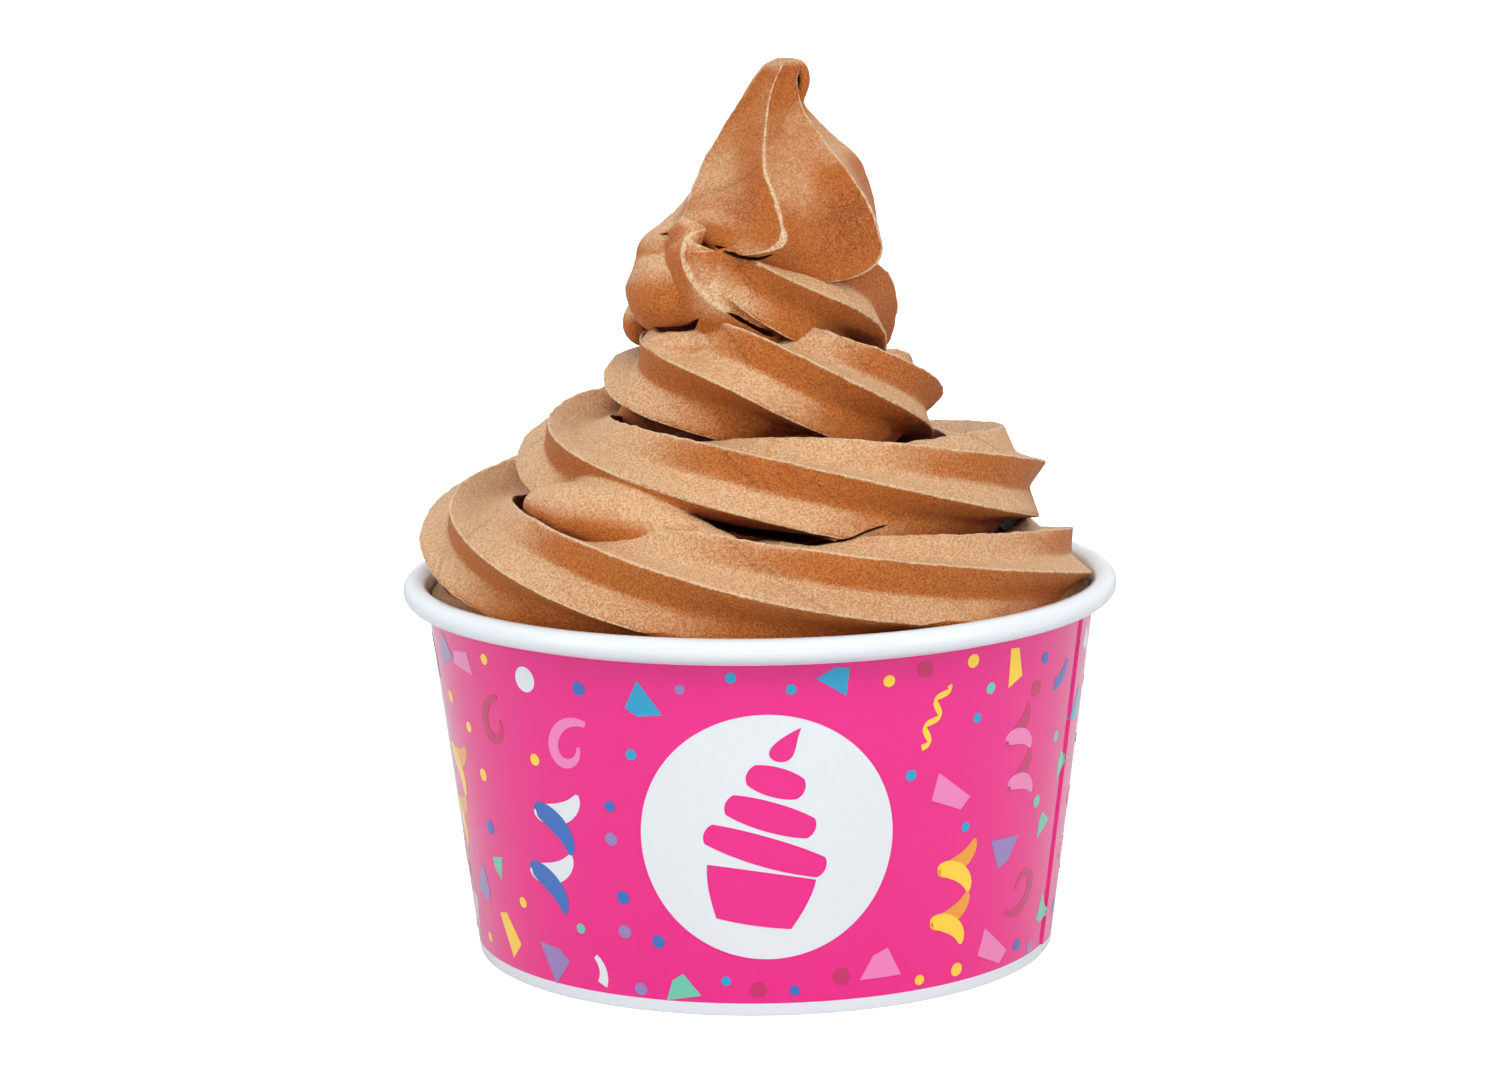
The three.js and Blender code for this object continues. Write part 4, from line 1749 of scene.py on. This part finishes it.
@dataclass
class Badge:
    """The white disc on the shown face, with a plain pictogram of a swirl in a cup."""

    bearing: float = -89.4
    height: float = 28.4
    width: float = 38.4
    tilt: float = -9.0
    roll_widths: tuple[float, ...] = (19.0, 14.0, 9.0)
    roll_thick: float = 4.6
    roll_slant: float = 9.0
    cup_top: float = 17.5
    cup_bottom: float = 12.0
    cup_tall: float = 8.6
    spacing: float = 0.9
    sign_low: float = -14.0
    corner: float = 0.06
    bow: float = 0.05
    tip_width: float = 5.2
    tip_tall: float = 5.6
    tip_lean: float = 2.4
    tip_taper: float = 0.8

    def disc(self) -> Object:
        """The disc, as a flat patch in millimetres."""

        def spot(u: float, v: float) -> Pair:
            """The disc's grid."""
            x, y = round_spot(u, v)
            return x * self.width, y * self.width

        return slab("badge_0", spot, 44, 44, 1.0)

    def sign(self) -> list[Object]:
        """The pictogram's parts, as flat patches in millimetres about the disc's centre."""
        base = self.sign_low

        def cup(u: float, v: float) -> Pair:
            """The small cup: a trapezoid with soft corners."""
            half = (self.cup_bottom + (self.cup_top - self.cup_bottom) * (v + 1) / 2) / 2
            soft = 1 - self.corner * v * v * u * u
            return u * half * soft, base + self.cup_tall * (v * (1 - self.bow * u * u) + 1) / 2

        parts = [slab("sign_0", cup, 14, 8, 1.0)]
        low = base + self.cup_tall + self.spacing
        slant = math.radians(self.roll_slant)
        for k, wide in enumerate(self.roll_widths):
            middle = low + self.roll_thick / 2

            def roll(u: float, v: float, wide: float = wide, middle: float = middle) -> Pair:
                """One roll of the swirl."""
                x, y = round_spot(u, v)
                along = u * (wide - self.roll_thick) / 2 + x * self.roll_thick
                return along * math.cos(slant) + y, middle + y * self.roll_thick - along * math.sin(slant)

            parts.append(slab(f"sign_{k + 1}", roll, 18, 8, 1.0))
            low += self.roll_thick + self.spacing

        def tip(u: float, v: float) -> Pair:
            """The tip: a drop that leans to the right."""
            x, y = round_spot(u, v)
            rise = y + 0.5
            across = x * self.tip_width * (1 - self.tip_taper * rise)
            return across + self.tip_lean * rise * rise, low + rise * self.tip_tall

        parts.append(slab("sign_4", tip, 10, 12, 1.0))
        return parts


@dataclass
class Confetti:
    """The print's confetti: generic dots, chips, kites, slips and streamers, scattered by a seeded rule."""

    shape: CupShape
    badge: Badge
    seed: int = 159
    margin: float = 1.3
    roomy: float = 5.0
    tries: int = 40
    thick: float = 0.05
    # how far the pictogram's middle stands off the disc's, as a share of that half thickness
    sign_lift: float = 0.8
    # how much the sizes vary, how far the streamers turn from upright, and the share of its size a flake keeps free
    spread: Pair = (0.82, 1.18)
    turn: float = 0.5
    share: float = 0.42
    disc_share: float = 0.45
    streamer_turns: int = 2
    streamer_width: float = 0.07
    streamer_edge: float = 0.014
    sharp_over: float = 30.0

    def motifs(self) -> list[Object]:
        """One flat patch for each motif, one unit across, in the order of Motif."""
        dot = slab("motif_0_dot", round_spot, 8, 8, 1.0)

        def chip(u: float, v: float) -> Pair:
            """A short tapered chip."""
            return u * (0.24 + 0.07 * v) + 0.05 * v, 0.5 * v * (1 + 0.12 * u)

        def kite(u: float, v: float) -> Pair:
            """A lopsided four-cornered piece."""
            return 0.42 * u * (1 - 0.45 * v) + 0.08 * v, 0.38 * v * (1 + 0.25 * u) - 0.06 * u

        def arc(t: float) -> Pair:
            """A shallow arc."""
            angle = math.radians(-38 + 76 * t)
            return 0.62 * math.sin(angle), 0.62 * (math.cos(angle) - 0.9)

        def ringlet(t: float) -> Pair:
            """An open ringlet."""
            angle = math.radians(-70 + 300 * t)
            return 0.3 * math.cos(angle) + 0.1 * t, 0.34 * math.sin(angle) + 0.3 * (t - 0.5)

        def wiggle(t: float) -> Pair:
            """A line that swings from side to side."""
            return 0.085 * math.sin(t * 15), t - 0.5

        def streamer(t: float) -> Pair:
            """The middle line of a ribbon that curls a few times on its way."""
            turn = TWO_PI * self.streamer_turns * t
            return 0.19 * math.cos(turn) + 0.06 * t, t - 0.5 + 0.1 * math.sin(turn)

        def half_width(t: float) -> float:
            """Half the ribbon's width on a half curl: as narrow at its ends as where it turns."""
            full = math.sin(math.pi * t) ** 0.7 if 0 < t < 1 else 0.0
            return self.streamer_edge + self.streamer_width * full

        count = 2 * self.streamer_turns

        def strand(k: int) -> Object:
            """One half curl of the ribbon."""
            line = strip_spot(lambda t: streamer((k + t) / count), half_width)
            return slab(f"strand_{k}", line, 1, 18, 0.8 if k % 2 else 1.4)

        slip = strip_spot(arc, lambda t: 0.07 + 0.08 * t)
        curl = strip_spot(ringlet, lambda t: 0.02 + 0.075 * math.sin(math.pi * min(1.0, 0.12 + 0.85 * t)))
        swing = strip_spot(wiggle, lambda t: 0.026 + 0.022 * abs(math.cos(t * 15)))
        return [
            dot,
            slab("motif_1_chip", chip, 3, 6, 1.0),
            slab("motif_2_kite", kite, 5, 5, 1.0),
            slab("motif_3_slip", slip, 2, 10, 1.0),
            slab("motif_4_curl", curl, 2, 32, 1.0),
            slab("motif_5_wiggle", swing, 1, 40, 1.0),
            joined("motif_6_front", [strand(k) for k in range(0, count, 2)]),
            joined("motif_7_back", [strand(k) for k in range(1, count, 2)]),
        ]

    def layout(self) -> list[Flake]:
        """Scatters the flakes over the wall, clear of each other and of the white disc.

        Returns:
            The flakes.
        """
        draw = random.Random(self.seed)
        plan: list[tuple[Motif, Ink, float, int]] = [
            (Motif.FRONT, Ink.BLUE, 19.0, 3),
            (Motif.FRONT, Ink.YELLOW, 17.0, 3),
            (Motif.FRONT, Ink.BLUSH, 15.0, 3),
            (Motif.FRONT, Ink.LILAC, 14.0, 3),
            (Motif.CURL, Ink.BLUSH, 11.0, 3),
            (Motif.WIGGLE, Ink.YELLOW, 12.0, 2),
            (Motif.CURL, Ink.ROSE, 8.0, 2),
            (Motif.CHIP, Ink.WHITE, 6.0, 7),
            (Motif.CHIP, Ink.YELLOW, 6.0, 8),
            (Motif.SLIP, Ink.BLUE, 7.5, 4),
            (Motif.SLIP, Ink.WHITE, 6.5, 4),
            (Motif.SLIP, Ink.MINT, 6.0, 4),
            (Motif.KITE, Ink.SKY, 4.6, 6),
            (Motif.KITE, Ink.MINT, 4.0, 7),
            (Motif.KITE, Ink.LILAC, 4.8, 6),
            (Motif.KITE, Ink.BLUSH, 4.6, 7),
            (Motif.CHIP, Ink.BLUSH, 6.5, 4),
            (Motif.CHIP, Ink.BLUE, 3.8, 5),
            (Motif.DOT, Ink.WHITE, 3.4, 5),
            (Motif.DOT, Ink.BLUSH, 3.0, 7),
            (Motif.DOT, Ink.YELLOW, 1.9, 24),
            (Motif.DOT, Ink.BLUE, 1.9, 24),
            (Motif.DOT, Ink.SKY, 1.8, 16),
            (Motif.DOT, Ink.MINT, 1.9, 12),
            (Motif.DOT, Ink.LILAC, 1.8, 10),
            (Motif.DOT, Ink.ROSE, 2.4, 6),
        ]
        undersides = {Ink.BLUE: Ink.WHITE, Ink.YELLOW: Ink.AMBER, Ink.BLUSH: Ink.ROSE, Ink.LILAC: Ink.BLUE}
        cup = self.shape
        placed: list[Flake] = []
        for motif, ink, size, count in plan:
            for _ in range(count):
                best, room = None, -math.inf
                wide = size * draw.uniform(*self.spread)
                half = self.turn if motif in (Motif.WIGGLE, Motif.FRONT) else math.pi
                for _ in range(self.tries):
                    bearing = draw.uniform(-math.pi, math.pi)
                    height = draw.uniform(cup.print_low + 0.5 * wide, cup.print_high - 0.5 * wide)
                    flake = Flake(motif, ink, bearing, height, wide, draw.uniform(-half, half))
                    free = min([self._gap(flake, other) for other in placed] + [self._disc_gap(flake), self.roomy])
                    if free > room:
                        best, room = flake, free
                if best is not None and room > self.margin:
                    placed.append(best)
        for flake in [flake for flake in placed if flake.motif is Motif.FRONT]:
            placed.append(replace(flake, motif=Motif.BACK, ink=undersides[flake.ink]))
        log.info("confetti: %d flakes", len(placed))
        return placed

    def _away(self, bearing: float, height: float, other_bearing: float, other_height: float) -> float:
        """Distance on the wall between two places."""
        turn = math.remainder(bearing - other_bearing, TWO_PI)
        return math.hypot(turn * self.shape.wall((height + other_height) / 2), height - other_height)

    def _gap(self, one: Flake, other: Flake) -> float:
        """Free length between two flakes, each taken as a disc of most of its size."""
        away = self._away(one.bearing, one.height, other.bearing, other.height)
        return away - self.share * (one.size + other.size)

    def _disc_gap(self, flake: Flake) -> float:
        """Free length between a flake and the white disc."""
        badge = self.badge
        away = self._away(flake.bearing, flake.height, math.radians(badge.bearing), badge.height)
        return away - badge.width / 2 - self.disc_share * flake.size

    def _tree(self) -> NodeTree:
        """The Geometry Nodes tree: patches set at points, then wrapped on to the tapered wall.

        Returns:
            The tree.
        """
        numbers = ("Foot radius", "Taper", "Lift", "Thickness", "Seam bearing", "Seam half", "Seam step")
        inputs = {"Places": "Geometry", "Patches": "Collection", **dict.fromkeys(numbers, "Float")}
        inputs["Ink"] = "Material"
        g, given, out = new_tree("wrap_print", "GeometryNodeTree", inputs, {"Geometry": "Geometry"})
        whole = {"Collection": given["Patches"], "Separate Children": True, "Reset Children": True}
        size = g.named("size")
        placed = g.call(
            "GeometryNodeInstanceOnPoints",
            {
                "Points": given["Places"],
                "Instance": g.call("GeometryNodeCollectionInfo", whole),
                "Pick Instance": True,
                "Instance Index": g.named("motif", "INT"),
                "Rotation": g.call("ShaderNodeCombineXYZ", {"Z": g.named("spin")}),
                "Scale": g.call("ShaderNodeCombineXYZ", {"X": size, "Y": size, "Z": given["Thickness"]}),
            },
        )
        real = g.call("GeometryNodeRealizeInstances", {"Geometry": placed})
        flat = g.add("ShaderNodeSeparateXYZ")
        g.feed(flat.inputs[0], g.call("GeometryNodeInputPosition", {}))
        x, y, z = flat.outputs
        height = g.plus(g.named("height"), y)
        radius = g.plus(given["Foot radius"], g.times(given["Taper"], height))
        bearing = g.plus(g.named("bearing"), g.over(x, radius))
        off = g.math("ABSOLUTE", g.minus(bearing, given["Seam bearing"]))
        raised = g.times(g.math("LESS_THAN", off, given["Seam half"]), given["Seam step"])
        lifted = g.plus(g.plus(radius, g.plus(z, given["Lift"])), raised)
        across, ahead = (g.times(lifted, g.math(way, bearing)) for way in ("COSINE", "SINE"))
        spot = g.call("ShaderNodeCombineXYZ", {"X": across, "Y": ahead, "Z": height})
        wrapped = g.call("GeometryNodeSetPosition", {"Geometry": real, "Position": spot})
        g.feed(out["Geometry"], g.call("GeometryNodeSetMaterial", {"Geometry": wrapped, "Material": given["Ink"]}))
        return g.tree

    def wrap(
        self, name: str, flakes: Sequence[Flake], patches: Collection, ink: Material, lift: float = 0.0
    ) -> None:
        """Sets patches on the wall as one piece.

        Args:
            name: Name of the piece.
            flakes: Where the patches go; a flake's motif is the number of its patch.
            patches: The flat patches.
            ink: The material.
            lift: How far the patches' middle stands off the wall.
        """
        cup = self.shape
        places = bpy.data.meshes.new(name)
        places.from_pydata([(0.0, 0.0, 0.0)] * len(flakes), [], [])
        units = {"bearing": 1.0, "height": MM, "size": MM, "spin": 1.0}
        for key, unit in units.items():
            store(places, key, [getattr(flake, key) * unit for flake in flakes])
        store(places, "motif", [flake.motif.value for flake in flakes], "INT")
        piece = grown(
            name,
            self.tree,
            places,
            Patches=patches,
            Foot_radius=cup.foot_radius * MM,
            Taper=cup.taper,
            Lift=lift * MM,
            Thickness=self.thick * MM,
            Seam_bearing=math.radians(cup.seam_bearing),
            Seam_half=cup.seam_half,
            Seam_step=cup.seam_step * MM,
            Ink=ink,
        )
        for attribute in (*units, "motif"):
            if attribute in piece.data.attributes:
                piece.data.attributes.remove(piece.data.attributes[attribute])
        clean(piece, 0.0001)
        shade(piece, self.sharp_over)
        hand_over(piece, Slot.PRINTED_PAPER)

    def build(self, inks: dict[Ink, Material], ground: Material) -> None:
        """Builds the confetti, the white disc and the plain pictogram on it.

        Args:
            inks: The material of each ink.
            ground: The material of the printed ground.
        """
        self.tree = self._tree()
        group = bpy.data.collections.new("patches")
        bpy.context.scene.collection.children.link(group)
        self._fill(group, self.motifs())
        flakes = self.layout()
        for ink, material in inks.items():
            mine = [flake for flake in flakes if flake.ink is ink]
            if mine:
                self.wrap(f"confetti_{ink.label}", mine, group, material)
        self._empty(group)
        centre = Flake(Motif.DOT, Ink.WHITE, math.radians(self.badge.bearing), self.badge.height, 1.0, 0.0)
        self._fill(group, [self.badge.disc()])
        self.wrap("badge_disc", [centre], group, inks[Ink.WHITE])
        self._empty(group)
        self._fill(group, self.badge.sign())
        spin = math.radians(self.badge.tilt)
        motifs = list(Motif)[: len(group.objects)]
        parts = [Flake(motif, Ink.ROSE, centre.bearing, centre.height, 1.0, spin) for motif in motifs]
        self.wrap("badge_sign", parts, group, ground, self.sign_lift * self.thick)
        self._empty(group)
        bpy.data.collections.remove(group)

    @staticmethod
    def _fill(group: Collection, patches: Sequence[Object]) -> None:
        """Moves patches from the scene into the group."""
        for patch in patches:
            bpy.context.scene.collection.objects.unlink(patch)
            group.objects.link(patch)

    @staticmethod
    def _empty(group: Collection) -> None:
        """Deletes the group's patches."""
        for patch in list(group.objects):
            bpy.data.objects.remove(patch)


# ---- the studio ------------------------------------------------------------------------------------


@dataclass
class Studio:
    """The camera, the pale floor and the soft lights."""

    focal_pixels: float = 4529.0
    camera_place: Place = (-0.52, -700.0, 193.1)
    pitch: float = 0.182
    roll: float = -0.014
    sensor: float = 36.0
    clip: Pair = (0.01, 50.0)
    floor_size: float = 16.0
    floor_shades: tuple[Colour, Colour] = (linear(212, 214, 216), linear(218, 219, 220))
    room_front: float = 0.32
    room_back: float = 0.95
    room_edge: Pair = (-0.22, 0.48)
    room_colour: Colour = (0.97, 0.985, 1.0, 1.0)
    floor_glow: float = 0.85
    backdrop_glow: float = 1.1
    # each light's name, place, size and power; they all face the swirl
    lights: tuple[tuple[str, Place, Pair, float], ...] = (
        ("key_softbox", (0.08, -0.75, 1.05), (0.6, 0.6), 8.2),
        ("left_softbox", (-1.1, -0.6, 0.55), (0.6, 0.9), 5.1),
        ("low_softbox", (0.0, -0.8, 0.06), (0.9, 0.2), 0.9),
        ("right_softbox", (1.1, -0.6, 0.45), (0.6, 0.9), 4.5),
    )
    aim: Place = (0.0, 0.0, 0.07)

    def camera(self) -> None:
        """Adds the camera."""
        data = bpy.data.cameras.new("camera")
        data.sensor_width = self.sensor
        data.lens = data.sensor_width * self.focal_pixels / IMAGE_WIDTH
        data.clip_start, data.clip_end = self.clip
        ahead = Vector((0.0, math.cos(self.pitch), -math.sin(self.pitch)))
        right = Vector((1.0, 0.0, 0.0))
        above = right.cross(ahead)
        cosine, sine = math.cos(self.roll), math.sin(self.roll)
        right_rolled = right * cosine + above * sine
        above_rolled = above * cosine - right * sine
        place = Vector(self.camera_place) * MM
        matrix = Matrix.Identity(4)
        for k, axis in enumerate((right_rolled, above_rolled, -ahead, place)):
            for i in range(3):
                matrix[i][k] = axis[i]
        camera = bpy.data.objects.new("camera", data)
        camera.matrix_world = matrix
        bpy.context.scene.collection.objects.link(camera)
        bpy.context.scene.camera = camera

    def floor(self) -> None:
        """Adds the plain white floor."""
        half = self.floor_size / 2
        mesh = bpy.data.meshes.new("floor")
        corners = [(-half, -half, 0.0), (half, -half, 0.0), (half, half, 0.0), (-half, half, 0.0)]
        mesh.from_pydata(corners, [], [(0, 1, 2, 3)])
        material, g, shader = new_material("floor_white")
        cloud = g.noise(g.call("ShaderNodeTexCoord", {}, "Object"), 3.0, 2.0, 0.5, 9.0)
        seen = g.call("ShaderNodeLightPath", {}, "Is Camera Ray")
        g.fill(
            shader,
            {
                "Base Color": g.mix(cloud, *self.floor_shades),
                "Roughness": 0.7,
                "Specular IOR Level": 0.1,
                "Emission Color": (1.0, 1.0, 1.0, 1.0),
                "Emission Strength": g.times(seen, self.floor_glow),
            },
        )
        floor = new_object("floor", mesh)
        floor.data.materials.append(material)

    def light(self, name: str, place: Place, size: Pair, watts: float) -> None:
        """Adds a soft rectangular light that faces the swirl.

        Args:
            name: Name of the light.
            place: Where it stands, in metres.
            size: Width and height, in metres.
            watts: Its power.
        """
        data = bpy.data.lights.new(name, "AREA")
        data.shape = "RECTANGLE"
        data.size, data.size_y = size
        data.energy = watts
        light = bpy.data.objects.new(name, data)
        light.location = place
        light.rotation_euler = (Vector(self.aim) - Vector(place)).to_track_quat("-Z", "Y").to_euler()
        bpy.context.scene.collection.objects.link(light)

    def build(self) -> None:
        """Sets up the whole studio."""
        self.camera()
        self.floor()
        for light in self.lights:
            self.light(*light)
        self.room()
        bpy.context.scene.view_settings.view_transform = "Standard"

    def room(self) -> None:
        """Sets the white room round the object: bright behind it, dimmer on the side that it faces."""
        world = bpy.data.worlds.new("studio")
        world.use_nodes = True
        g = Graph(world.node_tree)
        backdrop = world.node_tree.nodes["Background"]
        direction = g.call("ShaderNodeTexCoord", {}, "Generated")
        depth = g.call("ShaderNodeSeparateXYZ", {"Vector": direction}, "Y")
        lit = g.ramp(depth, *self.room_edge, self.room_front, self.room_back)
        seen = g.call("ShaderNodeLightPath", {}, "Is Camera Ray")
        g.feed(backdrop.inputs["Strength"], g.math("MAXIMUM", lit, g.times(seen, self.backdrop_glow)))
        backdrop.inputs["Color"].default_value = self.room_colour
        bpy.context.scene.world = world


# ---- the whole -------------------------------------------------------------------------------------


def main() -> None:
    """Builds the cup, its print, the yogurt and the studio, in that order."""
    logging.basicConfig(level=logging.INFO, format="%(name)s: %(message)s")
    cup = CupShape()
    tooth = paper_tooth()
    board = PaperFinish("board_white", linear(224, 230, 234), coat=0.6, coat_roughness=0.15).build(tooth)
    ground = PaperFinish("print_magenta", linear(232, 4, 132)).build(tooth)
    inks = {ink: PaperFinish(f"ink_{ink.label}", linear(*ink.value)).build(tooth) for ink in Ink}
    PaperCup(cup).build(board, ground)
    Confetti(cup, Badge()).build(inks, ground)
    Yogurt(cup, Rope(), Peak(), StarSweep()).build(YogurtFinish().build())
    Studio().build()


if __name__ == "__main__":
    main()
